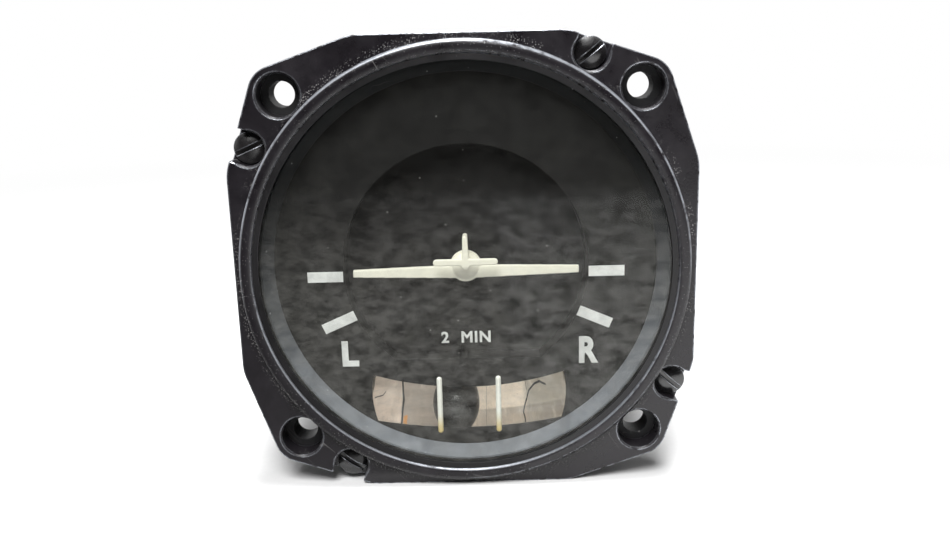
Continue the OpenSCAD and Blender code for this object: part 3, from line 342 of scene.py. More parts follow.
class EffectGroup:
    """A shader node group that several finishes share, built when it is first placed."""

    name: ClassVar[str] = ""
    takes: ClassVar[dict[str, Port]] = {}
    gives: ClassVar[dict[str, Port]] = {}

    def tree(self) -> bpy.types.NodeTree:
        """Finds the group's node tree, and builds it the first time.

        Returns:
            The node tree.
        """
        known = bpy.data.node_groups.get(self.name)
        if known:
            return known
        tree = bpy.data.node_groups.new(self.name, "ShaderNodeTree")
        for ports, direction in ((self.takes, "INPUT"), (self.gives, "OUTPUT")):
            for name, port in ports.items():
                tree.interface.new_socket(name=name, in_out=direction, socket_type=port.value)
        graph = Graph(tree)
        entry = graph.add("NodeGroupInput")
        leaving = graph.add("NodeGroupOutput")
        made = self.wire(graph, {socket.name: socket for socket in entry.outputs if socket.name})
        for name, socket in made.items():
            graph.feed(leaving.inputs[name], socket)
        log.info("effect group %s built", self.name)
        return tree

    def wire(self, graph: Graph, given: Sockets) -> dict[str, Socket]:
        """Makes the nodes between the group's inputs and outputs.

        Args:
            graph: The group's own graph.
            given: Its inputs by name.

        Returns:
            Its outputs by name.
        """
        raise NotImplementedError


class Grain(EffectGroup):
    """Fine and broad unevenness of paint, plastic or cast metal."""

    name = "Grain"
    takes = numbers("Scale")
    gives = numbers("Fine", "Broad")
    breadth: ClassVar[float] = 14.0

    def wire(self, graph: Graph, given: Sockets) -> dict[str, Socket]:
        """Makes a fine noise and a broad one.

        Args:
            graph: The group's own graph.
            given: The scale of the fine noise.

        Returns:
            Both noises.
        """
        place = graph.place()
        broad = graph.sum(Sum.DIVIDE, given["Scale"], self.breadth)
        return {
            "Fine": graph.noise(place, given["Scale"]),
            "Broad": graph.noise(place, broad, detail=4.0, rough=0.6, twist=0.4),
        }


class Specks(EffectGroup):
    """Scattered small round marks, such as dust, chips or pits."""

    name = "Specks"
    takes = numbers("Scale", "Share", "Size")
    gives = numbers("Mask", "Tone")
    wobble_scale: ClassVar[float] = 4.0
    wobble_reach: ClassVar[float] = 0.12
    rarity: ClassVar[float] = 2.0
    core: ClassVar[float] = 0.7

    def wire(self, graph: Graph, given: Sockets) -> dict[str, Socket]:
        """Draws a spot in some of the cells of a Voronoi pattern, most of them small.

        Args:
            graph: The group's own graph.
            given: Cells to the metre, the share of them with a spot, and the largest spot's part of a cell.

        Returns:
            The mask of the spots, and a random tone for each.
        """
        place = graph.place()
        rough = graph.noise(place, graph.times(given["Scale"], self.wobble_scale))
        cells = graph.add("ShaderNodeTexVoronoi")
        graph.fill(cells, {"Vector": place, "Scale": given["Scale"]})
        tones = graph.add("ShaderNodeSeparateColor")
        graph.feed(tones.inputs[0], cells.outputs["Color"])
        reach = graph.times(given["Size"], graph.sum(Sum.POWER, tones.outputs[1], self.rarity))
        far = graph.plus(cells.outputs["Distance"], graph.times(rough, self.wobble_reach))
        spot = graph.span(far, graph.times(reach, self.core), reach, 1.0, 0.0)
        chosen = graph.sum(Sum.LESS, tones.outputs[0], given["Share"])
        return {"Mask": graph.times(spot, chosen), "Tone": tones.outputs[2]}


class Scratches(EffectGroup):
    """Broken thin lines, mostly along one direction."""

    name = "Scratches"
    takes = numbers("Scale", "Width", "Turn")
    gives = numbers("Mask")
    stretch: ClassVar[Point] = (1.0, 1.0, 0.14)
    gap_scale: ClassVar[float] = 0.5
    gaps: ClassVar[Range] = (0.56, 0.66)

    def wire(self, graph: Graph, given: Sockets) -> dict[str, Socket]:
        """Draws level lines of a stretched noise and breaks them up.

        Args:
            graph: The group's own graph.
            given: Lines to the metre, their width in parts of the noise, and their angle about Y.

        Returns:
            The mask of the lines.
        """
        place = graph.place()
        turn = graph.add("ShaderNodeVectorRotate", rotation_type="Y_AXIS")
        graph.fill(turn, {"Vector": place, "Angle": given["Turn"]})
        long = graph.stretched(turn.outputs[0], self.stretch)
        wave = graph.noise(long, given["Scale"], detail=1.0, twist=0.3)
        off = graph.sum(Sum.SIZE, graph.less(wave, MIDDLE))
        line = graph.span(off, 0.0, given["Width"], 1.0, 0.0)
        broken = graph.span(graph.noise(place, graph.times(given["Scale"], self.gap_scale)), *self.gaps)
        return {"Mask": graph.times(line, broken)}


class EdgeWear(EffectGroup):
    """Rounded edges with the finish gone from them in places."""

    name = "Edge wear"
    takes = numbers("Radius", "Amount", "Scale")
    gives = numbers("Mask", "Edge", "Corner") | vectors("Normal")
    reach: ClassVar[float] = 3.0
    open_light: ClassVar[Range] = (0.7, 0.92)
    closed_light: ClassVar[Range] = (0.35, 0.95)
    bend: ClassVar[Range] = (0.005, 0.12)
    unworn: ClassVar[float] = 0.82
    most_worn: ClassVar[float] = 0.62
    fade: ClassVar[float] = 0.12

    def wire(self, graph: Graph, given: Sockets) -> dict[str, Socket]:
        """Finds outer edges from a bevelled normal, and corners from their occlusion.

        Args:
            graph: The group's own graph.
            given: The edge's radius, how much of it wears away from 0 to 1, and the scale of its outline.

        Returns:
            The mask of the wear, the unbroken edge, the inner corners, and the rounded normal.
        """
        bevel = graph.add("ShaderNodeBevel", samples=6)
        graph.feed(bevel.inputs["Radius"], given["Radius"])
        turned = graph.inverse(graph.dot(bevel.outputs[0], graph.normal()))
        shade = graph.add("ShaderNodeAmbientOcclusion", samples=4, only_local=True)
        graph.feed(shade.inputs["Distance"], graph.times(given["Radius"], self.reach))
        light = shade.outputs["AO"]
        edge = graph.times(graph.span(turned, *self.bend), graph.span(light, *self.open_light))
        rough = graph.noise(graph.place(), given["Scale"], detail=5.0, rough=0.65)
        start = graph.less(self.unworn, graph.times(given["Amount"], self.most_worn))
        kept = graph.span(rough, start, graph.plus(start, self.fade))
        return {
            "Mask": graph.times(edge, kept), "Edge": edge,
            "Corner": graph.inverse(graph.span(light, *self.closed_light)), "Normal": bevel.outputs[0],
        }


class RoundBand(EffectGroup):
    """A band round the instrument's axis."""

    name = "Round band"
    takes = numbers("Radius", "Width")
    gives = numbers("Mask", "Crown")
    fade: ClassVar[Range] = (0.4, 1.0)
    roundness: ClassVar[float] = 2.0

    def wire(self, graph: Graph, given: Sockets) -> dict[str, Socket]:
        """Masks by the distance from the Y axis.

        Args:
            graph: The group's own graph.
            given: The band's radius and its half width.

        Returns:
            The mask, which fades to the band's sides, and the height of a round crown on the band.
        """
        far = graph.length(graph.stretched(graph.place(), FACING))
        off = graph.sum(Sum.SIZE, graph.less(far, given["Radius"]))
        share = graph.sum(Sum.LOWER, graph.sum(Sum.DIVIDE, off, given["Width"]), 1.0)
        return {
            "Mask": graph.span(share, *self.fade, 1.0, 0.0),
            "Crown": graph.inverse(graph.sum(Sum.POWER, share, self.roundness)),
        }


class Turned(EffectGroup):
    """Lathe marks round an axis."""

    name = "Turned"
    takes = vectors("Axis", "Centre") | numbers("Scale")
    gives = numbers("Lines")

    def wire(self, graph: Graph, given: Sockets) -> dict[str, Socket]:
        """Makes noise that changes with the radius and along the axis only.

        Args:
            graph: The group's own graph.
            given: The axis as a unit vector, a point on it, and lines to the metre.

        Returns:
            The height of the lines from 0 to 1.
        """
        arm = graph.away(graph.place(), given["Centre"])
        deep = graph.dot(arm, given["Axis"])
        radial = graph.away(arm, graph.scaled(given["Axis"], deep))
        joined = graph.add("ShaderNodeCombineXYZ")
        graph.fill(joined, {"X": graph.length(radial), "Y": deep})
        return {"Lines": graph.noise(joined.outputs[0], given["Scale"], detail=2.0)}


class Smudge(EffectGroup):
    """Soft patches with uneven edges, such as grime, haze or finger marks."""

    name = "Smudge"
    takes = numbers("Scale", "Low", "High")
    gives = numbers("Mask")

    def wire(self, graph: Graph, given: Sockets) -> dict[str, Socket]:
        """Cuts a twisted noise off between two levels.

        Args:
            graph: The group's own graph.
            given: Patches to the metre, and the two levels.

        Returns:
            The mask of the patches.
        """
        wave = graph.noise(graph.place(), given["Scale"], detail=6.0, rough=0.62, twist=0.8)
        return {"Mask": graph.span(wave, given["Low"], given["High"])}


class Crack(EffectGroup):
    """One thin wandering line between two points of a face that looks along Y."""

    name = "Crack"
    takes = vectors("From", "To") | numbers("Width", "Wander")
    gives = numbers("Mask")
    shake_scale: ClassVar[float] = 420.0
    middle: ClassVar[Point] = (MIDDLE, MIDDLE, MIDDLE)
    core: ClassVar[float] = 0.5

    def wire(self, graph: Graph, given: Sockets) -> dict[str, Socket]:
        """Measures the distance to a line whose surroundings are shaken by noise.

        Args:
            graph: The group's own graph.
            given: The line's ends, its half width, and how far it wanders.

        Returns:
            The mask of the line.
        """
        place = graph.place()
        shake = graph.add("ShaderNodeTexNoise")
        graph.fill(shake, {"Vector": place, "Scale": self.shake_scale})
        shift = graph.scaled(graph.away(shake.outputs["Color"], self.middle), given["Wander"])
        flat = graph.stretched(graph.along(Along.ADD, place, shift), FACING)
        arm = graph.away(flat, given["From"])
        line = graph.away(given["To"], given["From"])
        share = graph.sum(Sum.DIVIDE, graph.dot(arm, line), graph.dot(line, line))
        held = graph.sum(Sum.LOWER, graph.higher(share, 0.0), 1.0)
        off = graph.length(graph.away(arm, graph.scaled(line, held)))
        return {"Mask": graph.span(off, graph.times(given["Width"], self.core), given["Width"], 1.0, 0.0)}


GRAIN, SPECKS, SCRATCHES, EDGE_WEAR = Grain(), Specks(), Scratches(), EdgeWear()
ROUND_BAND, TURNED, SMUDGE, CRACK = RoundBand(), Turned(), Smudge(), Crack()


class Finish:
    """A material of the part: each kind of finish says how it is wired."""

    def make(self, name: str) -> bpy.types.Material:
        """Builds the material.

        Args:
            name: The material's name.

        Returns:
            The new material.
        """
        material = bpy.data.materials.new(name)
        material.use_nodes = True
        material.node_tree.nodes.clear()
        graph = Graph(material.node_tree)
        output = graph.add("ShaderNodeOutputMaterial")
        graph.feed(output.inputs["Surface"], self.surface(graph))
        log.info("finish %s made", name)
        return material

    def surface(self, graph: Graph) -> Socket:
        """Wires the shader.

        Args:
            graph: The material's graph.

        Returns:
            The shader's output.
        """
        raise NotImplementedError


def relief(graph: Graph, height: Value, depth: float, normal: Value) -> Socket:
    """Turns a height into a normal, over a rounded normal.

    Args:
        graph: The material's graph.
        height: The height from 0 to 1.
        depth: What a height of 1 stands for, in metres.
        normal: The normal under the relief.

    Returns:
        The new normal.
    """
    bump = graph.add("ShaderNodeBump")
    graph.fill(bump, {"Strength": 1.0, "Distance": depth, "Height": height, "Normal": normal})
    return bump.outputs[0]


def dulled(roughness: float, more: float) -> float:
    """A roughness made higher, up to 1."""
    return min(roughness + more, 1.0)


@dataclass(frozen=True)
class Chips:
    """Flaked paint in a band round the instrument's axis: its radius, half width and flaked share."""

    radius: float
    width: float
    share: float


@dataclass(frozen=True)
class Crown:
    """A ridge's rounded top: its radius round the instrument's axis, its half width and its height."""

    radius: float
    width: float
    depth: float


@dataclass(frozen=True)
class HighlightRub:
    """Painted highlight: bare metal laid on a ridge's edge where the lamps' highlight falls, growing from
    one height of the instrument to another.
    """

    radius: float
    width: float
    faint: float
    strong: float


@dataclass(frozen=True)
class ShadeByHeight:
    """Painted shade: a colour darkened from one height of the instrument to another, down to the share that
    is kept.
    """

    foot: float = 0.0
    head: float = 1.0
    kept: float = 1.0


@dataclass(frozen=True)
class Lacquer(Finish):
    """Paint over metal, with its grain, its grime, dust, scratches and wear on its edges; where given,
    painted highlights of bare metal on ridges, and painted shade that darkens it by height.
    """

    colour: Colour
    stain: Colour
    bare: Colour = (196, 200, 208)
    roughness: float = 0.45
    specular: float = 0.5
    grain_scale: float = 2600.0
    grain_depth: float = 0.02 * MM
    edge: float = 0.25 * MM
    wear: float = 0.35
    wear_scale: float = 700.0
    dust: float = 0.06
    dust_scale: float = 900.0
    dust_colour: Colour = (150, 148, 146)
    scratches: float = 0.25
    chipped: tuple[Chips, ...] = ()
    crowned: tuple[Crown, ...] = ()
    # Painted highlights: bare metal laid on ridges where the lamps' highlights fall.
    highlight_rubs: tuple[HighlightRub, ...] = ()
    # Painted shade by height; its default keeps the whole colour.
    painted_shade: ShadeByHeight = ShadeByHeight()
    grime_cover: ClassVar[float] = 0.8
    grime_gloss: ClassVar[float] = 0.5
    grime_dulls: ClassVar[float] = 0.2
    dust_tones: ClassVar[Range] = (0.25, 1.0)
    dust_cover: ClassVar[float] = 0.85
    dust_roughness: ClassVar[float] = 0.9
    highlight_cover: ClassVar[float] = 0.85
    polish_share: ClassVar[float] = 0.6
    polish_roughness: ClassVar[float] = 0.2
    bare_roughness: ClassVar[float] = 0.3
    bare_drop: ClassVar[float] = 0.6
    uneven: ClassVar[Range] = (0.8, 1.2)

    def loose(self, graph: Graph) -> Socket:
        """Finds the dust and the flaked paint.

        Args:
            graph: The material's graph.

        Returns:
            The mask of both.
        """
        dust = graph.effect(SPECKS, Scale=self.dust_scale, Share=self.dust, Size=0.42)
        chips = graph.times(dust["Mask"], graph.span(dust["Tone"], 0.0, 1.0, *self.dust_tones))
        for ring in self.chipped:
            band = graph.effect(ROUND_BAND, Radius=ring.radius, Width=ring.width)["Mask"]
            patch = graph.effect(SMUDGE, Scale=90.0, Low=0.4, High=0.62)["Mask"]
            flaked = graph.effect(SPECKS, Scale=5200.0, Share=ring.share, Size=0.7)["Mask"]
            chips = graph.higher(chips, graph.times(band, patch, flaked))
        return chips

    def wear_and_highlights(self, graph: Graph, edges: Socket, high: Socket) -> Socket:
        """Finds where the metal is bare: the wear on the edges, and the painted highlights on ridges.

        Args:
            graph: The material's graph.
            edges: The mask of the edges' wear.
            high: The height of the shaded point on the instrument.

        Returns:
            The mask of the bare metal.
        """
        bare = edges
        for ridge in self.highlight_rubs:
            crest = graph.effect(ROUND_BAND, Radius=ridge.radius, Width=ridge.width)["Mask"]
            broken = graph.effect(SMUDGE, Scale=260.0, Low=0.3, High=0.5)["Mask"]
            share = graph.span(high, ridge.faint, ridge.strong)
            # Painted highlight: bare metal on the ridge, growing towards the height where the highlight
            # falls.
            bare = graph.higher(bare, graph.times(crest, broken, share, self.highlight_cover))
        return bare

    def surface(self, graph: Graph) -> Socket:
        """Layers stain, scratches, dust and bare metal on the paint, with the painted shade by height; the
        bare metal holds the painted highlights.

        Args:
            graph: The material's graph.

        Returns:
            The shader's output.
        """
        grain = graph.effect(GRAIN, Scale=self.grain_scale)
        grime = graph.effect(SMUDGE, Scale=60.0, Low=0.42, High=0.72)["Mask"]
        edges = graph.effect(EDGE_WEAR, Radius=self.edge, Amount=self.wear, Scale=self.wear_scale)
        lint = graph.effect(SCRATCHES, Scale=210.0, Width=0.006, Turn=0.7)["Mask"]
        high = graph.parts(graph.place())[2]
        chips = self.loose(graph)
        # Bare metal: the wear on the edges and the painted highlights.
        bare = self.wear_and_highlights(graph, edges["Mask"], high)
        normal = edges["Normal"]
        for ridge in self.crowned:
            crown = graph.effect(ROUND_BAND, Radius=ridge.radius, Width=ridge.width)["Crown"]
            normal = relief(graph, crown, ridge.depth, normal)
        tone = graph.blend(graph.times(grime, self.grime_cover), self.colour, self.stain)
        uneven = graph.span(grain["Broad"], *NARROW, *self.uneven)
        # Painted shade: the colour darkened by height.
        faded_and_shaded = graph.span(high, self.painted_shade.foot, self.painted_shade.head, 1.0, self.painted_shade.kept)
        tone = graph.scaled(tone, graph.times(uneven, faded_and_shaded))
        tone = graph.blend(graph.times(lint, self.scratches), tone, self.dust_colour)
        tone = graph.blend(graph.times(chips, self.dust_cover), tone, self.dust_colour)
        tone = graph.blend(bare, tone, self.bare)
        gloss = graph.span(grain["Broad"], *MEDIUM, self.roughness - SMOOTHER, self.roughness + ROUGHER)
        dull = dulled(self.roughness, self.grime_dulls)
        gloss = graph.between(graph.times(grime, self.grime_gloss), gloss, dull)
        gloss = graph.between(chips, gloss, self.dust_roughness)
        gloss = graph.between(graph.times(edges["Edge"], self.polish_share), gloss, self.polish_roughness)
        height = graph.less(grain["Fine"], graph.times(bare, self.bare_drop))
        return graph.principled(
            Specular_IOR_Level=self.specular, Base_Color=tone,
            Roughness=graph.between(bare, gloss, self.bare_roughness), Metallic=bare,
            Normal=relief(graph, height, self.grain_depth, normal),
        )


@dataclass(frozen=True)
class Metal(Finish):
    """Bare metal with machining marks, tarnish in its corners and bright edges."""

    colour: Colour
    tarnish: Colour
    roughness: float = 0.32
    axis: Point = (0.0, 1.0, 0.0)
    centre: Point = (0.0, 0.0, 0.0)
    lines: float = 4500.0
    lines_depth: float = 0.004 * MM
    edge: float = 0.15 * MM
    spotting: float = 0.1
    film_share: ClassVar[float] = 0.55
    corner_share: ClassVar[float] = 0.7
    spot_share: ClassVar[float] = 0.8
    grain_share: ClassVar[float] = 0.4
    tarnish_dulls: ClassVar[float] = 0.25
    polish: ClassVar[float] = 0.7
    shimmer: ClassVar[Range] = (0.9, 1.08)

    def surface(self, graph: Graph) -> Socket:
        """Layers tarnish and brighter edges on turned or brushed metal.

        Args:
            graph: The material's graph.

        Returns:
            The shader's output.
        """
        grain = graph.effect(GRAIN, Scale=3200.0)["Fine"]
        marks = graph.effect(TURNED, Axis=self.axis, Centre=self.centre, Scale=self.lines)["Lines"]
        edges = graph.effect(EDGE_WEAR, Radius=self.edge, Amount=0.9, Scale=900.0)
        film = graph.effect(SMUDGE, Scale=130.0, Low=0.4, High=0.7)["Mask"]
        spots = graph.effect(SPECKS, Scale=1100.0, Share=self.spotting, Size=0.5)["Mask"]
        dull = graph.higher(
            graph.times(film, self.film_share), graph.times(edges["Corner"], self.corner_share),
            graph.times(spots, self.spot_share),
        )
        tone = graph.blend(dull, self.colour, self.tarnish)
        gloss = graph.span(marks, *NARROW, self.roughness - SMOOTHER, self.roughness + ROUGHER)
        gloss = graph.between(dull, gloss, dulled(self.roughness, self.tarnish_dulls))
        height = graph.plus(marks, graph.times(grain, self.grain_share))
        return graph.principled(
            Metallic=1.0, Base_Color=graph.scaled(tone, graph.span(marks, *NARROW, *self.shimmer)),
            Roughness=graph.between(edges["Mask"], gloss, self.roughness * self.polish),
            Normal=relief(graph, height, self.lines_depth, edges["Normal"]),
        )


@dataclass(frozen=True)
class Moulded(Finish):
    """Moulded plastic, rubber, cork or enamel, dusty in its corners."""

    colour: Colour
    stain: Colour
    roughness: float = 0.5
    specular: float = 0.5
    grain_scale: float = 3000.0
    grain_depth: float = 0.01 * MM
    edge: float = 0.15 * MM
    dust: float = 0.05
    mottle: float = 0.12
    dirt: float = 0.5
    # Emission of the body colour: painted light that brightens the part.
    glow: float = 0.0
    dust_colour: ClassVar[Colour] = (140, 136, 130)
    dust_cover: ClassVar[float] = 0.7
    dirt_dulls: ClassVar[float] = 0.2
    gloss_spread: ClassVar[float] = 0.05

    def surface(self, graph: Graph) -> Socket:
        """Layers mottling, dirt in the corners and dust on a plain body colour.

        Args:
            graph: The material's graph.

        Returns:
            The shader's output.
        """
        grain = graph.effect(GRAIN, Scale=self.grain_scale)
        edges = graph.effect(EDGE_WEAR, Radius=self.edge, Amount=0.3, Scale=800.0)
        film = graph.effect(SMUDGE, Scale=240.0, Low=0.45, High=0.75)["Mask"]
        dust = graph.effect(SPECKS, Scale=1500.0, Share=self.dust, Size=0.4)["Mask"]
        soiled = graph.times(graph.higher(film, edges["Corner"]), self.dirt)
        uneven = graph.span(grain["Broad"], *NARROW, 1.0 - self.mottle, 1.0 + self.mottle)
        tone = graph.scaled(graph.blend(soiled, self.colour, self.stain), uneven)
        tone = graph.blend(graph.times(dust, self.dust_cover), tone, self.dust_colour)
        low, high = self.roughness - self.gloss_spread, self.roughness + self.gloss_spread
        gloss = graph.span(grain["Fine"], *NARROW, low, high)
        return graph.principled(
            Specular_IOR_Level=self.specular, Emission_Strength=self.glow, Emission_Color=tone,
            Base_Color=tone,
            Roughness=graph.between(soiled, gloss, dulled(self.roughness, self.dirt_dulls)),
            Normal=relief(graph, grain["Fine"], self.grain_depth, edges["Normal"]),
        )


@dataclass(frozen=True)
class ClearGlass(Finish):
    """Clear glass that lets the lamps through, with dust on it and a faint diffuse film that is painted
    reflection.
    """

    tint: Colour
    dust_dark: Colour = (196, 194, 186)
    dust_pale: Colour = (232, 230, 224)
    bending: float = 1.5
    gloss: float = 0.02
    haze_dulls: float = 0.04
    sheen: float = 0.32
    # Painted reflection: a diffuse film, full in the lower glass and thin above, in place of the bright
    # floor mirrored there.
    film: float = 0.05
    painted_reflection_top: float = 19 * MM
    painted_reflection_bottom: float = -10 * MM
    painted_reflection_kept: float = 0.1
    dust: float = 0.03
    dust_scale: float = 450.0
    dust_cover: float = 0.7
    dust_roughness: Range = (0.85, 0.95)
    fine_scale: float = 1800.0
    fine_cover: float = 0.35
    # Painted reflection: a mottle on the mirror's strength and on the film, in place of a textured floor
    # mirrored in the glass.
    reflection_mottle_scale: float = 430.0
    reflection_mottle_shape: Point = (0.7, 1.0, 1.2)
    reflection_mottle_levels: Range = (0.34, 0.66)
    reflection_mottle_strength: Range = (0.3, 1.6)

    def mirror(self, graph: Graph, haze: Socket) -> Socket:
        """Wires the shader of what the glass mirrors.

        Args:
            graph: The material's graph.
            haze: The mask of the haze.

        Returns:
            The shader's output.
        """
        gloss = graph.span(haze, 0.0, 1.0, self.gloss, self.gloss + self.haze_dulls)
        return graph.principled(Metallic=1.0, Base_Color=WHITE, Roughness=gloss)

    def dirt(self, graph: Graph, haze: Socket, tone: Socket) -> Socket:
        """Wires the shader of the dust and of the film; the film's diffuse layer is painted reflection.

        Args:
            graph: The material's graph.
            haze: The mask of the haze.
            tone: The random tone of each speck.

        Returns:
            The shader's output.
        """
        colour = graph.blend(tone, self.dust_dark, self.dust_pale)
        rough = graph.span(haze, 0.0, 1.0, *self.dust_roughness)
        return graph.principled(Specular_IOR_Level=0.0, Base_Color=colour, Roughness=rough)

    def surface(self, graph: Graph) -> Socket:
        """Mixes plain passage, a mirror by its angle on the outer faces, dust that scatters light, and a
        film of painted reflection; a mottle of painted reflection varies the mirror and the film.

        Args:
            graph: The material's graph.

        Returns:
            The shader's output.
        """
        haze = graph.effect(SMUDGE, Scale=190.0, Low=0.3, High=0.75)["Mask"]
        clear = graph.add("ShaderNodeBsdfTransparent")
        graph.feed(clear.inputs["Color"], self.tint)
        fresnel = graph.add("ShaderNodeFresnel")
        graph.feed(fresnel.inputs["IOR"], self.bending)
        front = graph.inverse(graph.add("ShaderNodeNewGeometry").outputs["Backfacing"])
        place = graph.place()
        where = graph.stretched(place, self.reflection_mottle_shape)
        # Painted reflection: the mottle.
        reflection_mottle_noise = graph.noise(where, self.reflection_mottle_scale, detail=5.0, rough=0.7)
        reflection_mottle = graph.span(reflection_mottle_noise, *self.reflection_mottle_levels, *self.reflection_mottle_strength)
        share = graph.times(fresnel.outputs[0], self.sheen, front, reflection_mottle)
        glass = graph.layered(share, clear.outputs[0], self.mirror(graph, haze))
        specks = graph.effect(SPECKS, Scale=self.dust_scale, Share=self.dust, Size=0.14)
        fine = graph.effect(SPECKS, Scale=self.fine_scale, Share=self.dust, Size=0.3)["Mask"]
        # Painted reflection: the film is full below the bottom height and falls to its kept share above the
        # top height.
        low = graph.span(graph.parts(place)[2], self.painted_reflection_bottom, self.painted_reflection_top, 1.0, self.painted_reflection_kept)
        painted_reflection = graph.times(reflection_mottle, low, self.film)
        coarse = graph.times(specks["Mask"], self.dust_cover)
        cover = graph.higher(coarse, graph.times(fine, self.fine_cover), painted_reflection)
        return graph.layered(cover, glass, self.dirt(graph, haze, specks["Tone"]))


@dataclass(frozen=True)
class FilledGlass(Finish):
    """A glass tube full of clear damping spirit, which bends light as one solid."""

    tint: Colour = (254, 253, 249)
    bending: float = 1.38
    streak_dulls: float = 0.02

    def surface(self, graph: Graph) -> Socket:
        """Wires a clear body with faint streaks in its polish.

        Args:
            graph: The material's graph.

        Returns:
            The shader's output.
        """
        haze = graph.effect(SMUDGE, Scale=300.0, Low=0.45, High=0.8)["Mask"]
        return graph.principled(
            Transmission_Weight=1.0, IOR=self.bending, Base_Color=graph.blend(haze, WHITE, self.tint),
            Roughness=graph.span(haze, 0.0, 1.0, 0.0, self.streak_dulls),
        )


@dataclass(frozen=True)
class WireCoat(Finish):
    """Thick cream enamel on the reference wires, yellowed towards its foot."""

    fresh: Colour = (252, 251, 242)
    yellowed: Colour = (222, 196, 122)
    from_height: float = -27.5 * MM
    to_height: float = -32.2 * MM
    # Painted light: the enamel glows with its own colour, which brightens the wires.
    glow: float = 0.16
    uneven: Range = (0.97, 1.0)
    roughness: Range = (0.3, 0.38)
    grain_depth: float = 0.006 * MM

    def surface(self, graph: Graph) -> Socket:
        """Blends the enamel's two colours by height, with faint unevenness, and makes it glow with painted
        light.

        Args:
            graph: The material's graph.

        Returns:
            The shader's output.
        """
        grain = graph.effect(GRAIN, Scale=2600.0)
        high = graph.parts(graph.place())[2]
        aged = graph.inverse(graph.span(high, self.to_height, self.from_height))
        tone = graph.blend(aged, self.fresh, self.yellowed)
        tone = graph.scaled(tone, graph.span(grain["Broad"], *NARROW, *self.uneven))
        return graph.principled(
            Base_Color=tone, Roughness=graph.span(grain["Fine"], *NARROW, *self.roughness),
            Emission_Strength=self.glow, Emission_Color=tone,
            Normal=relief(graph, grain["Fine"], self.grain_depth, graph.normal()),
        )


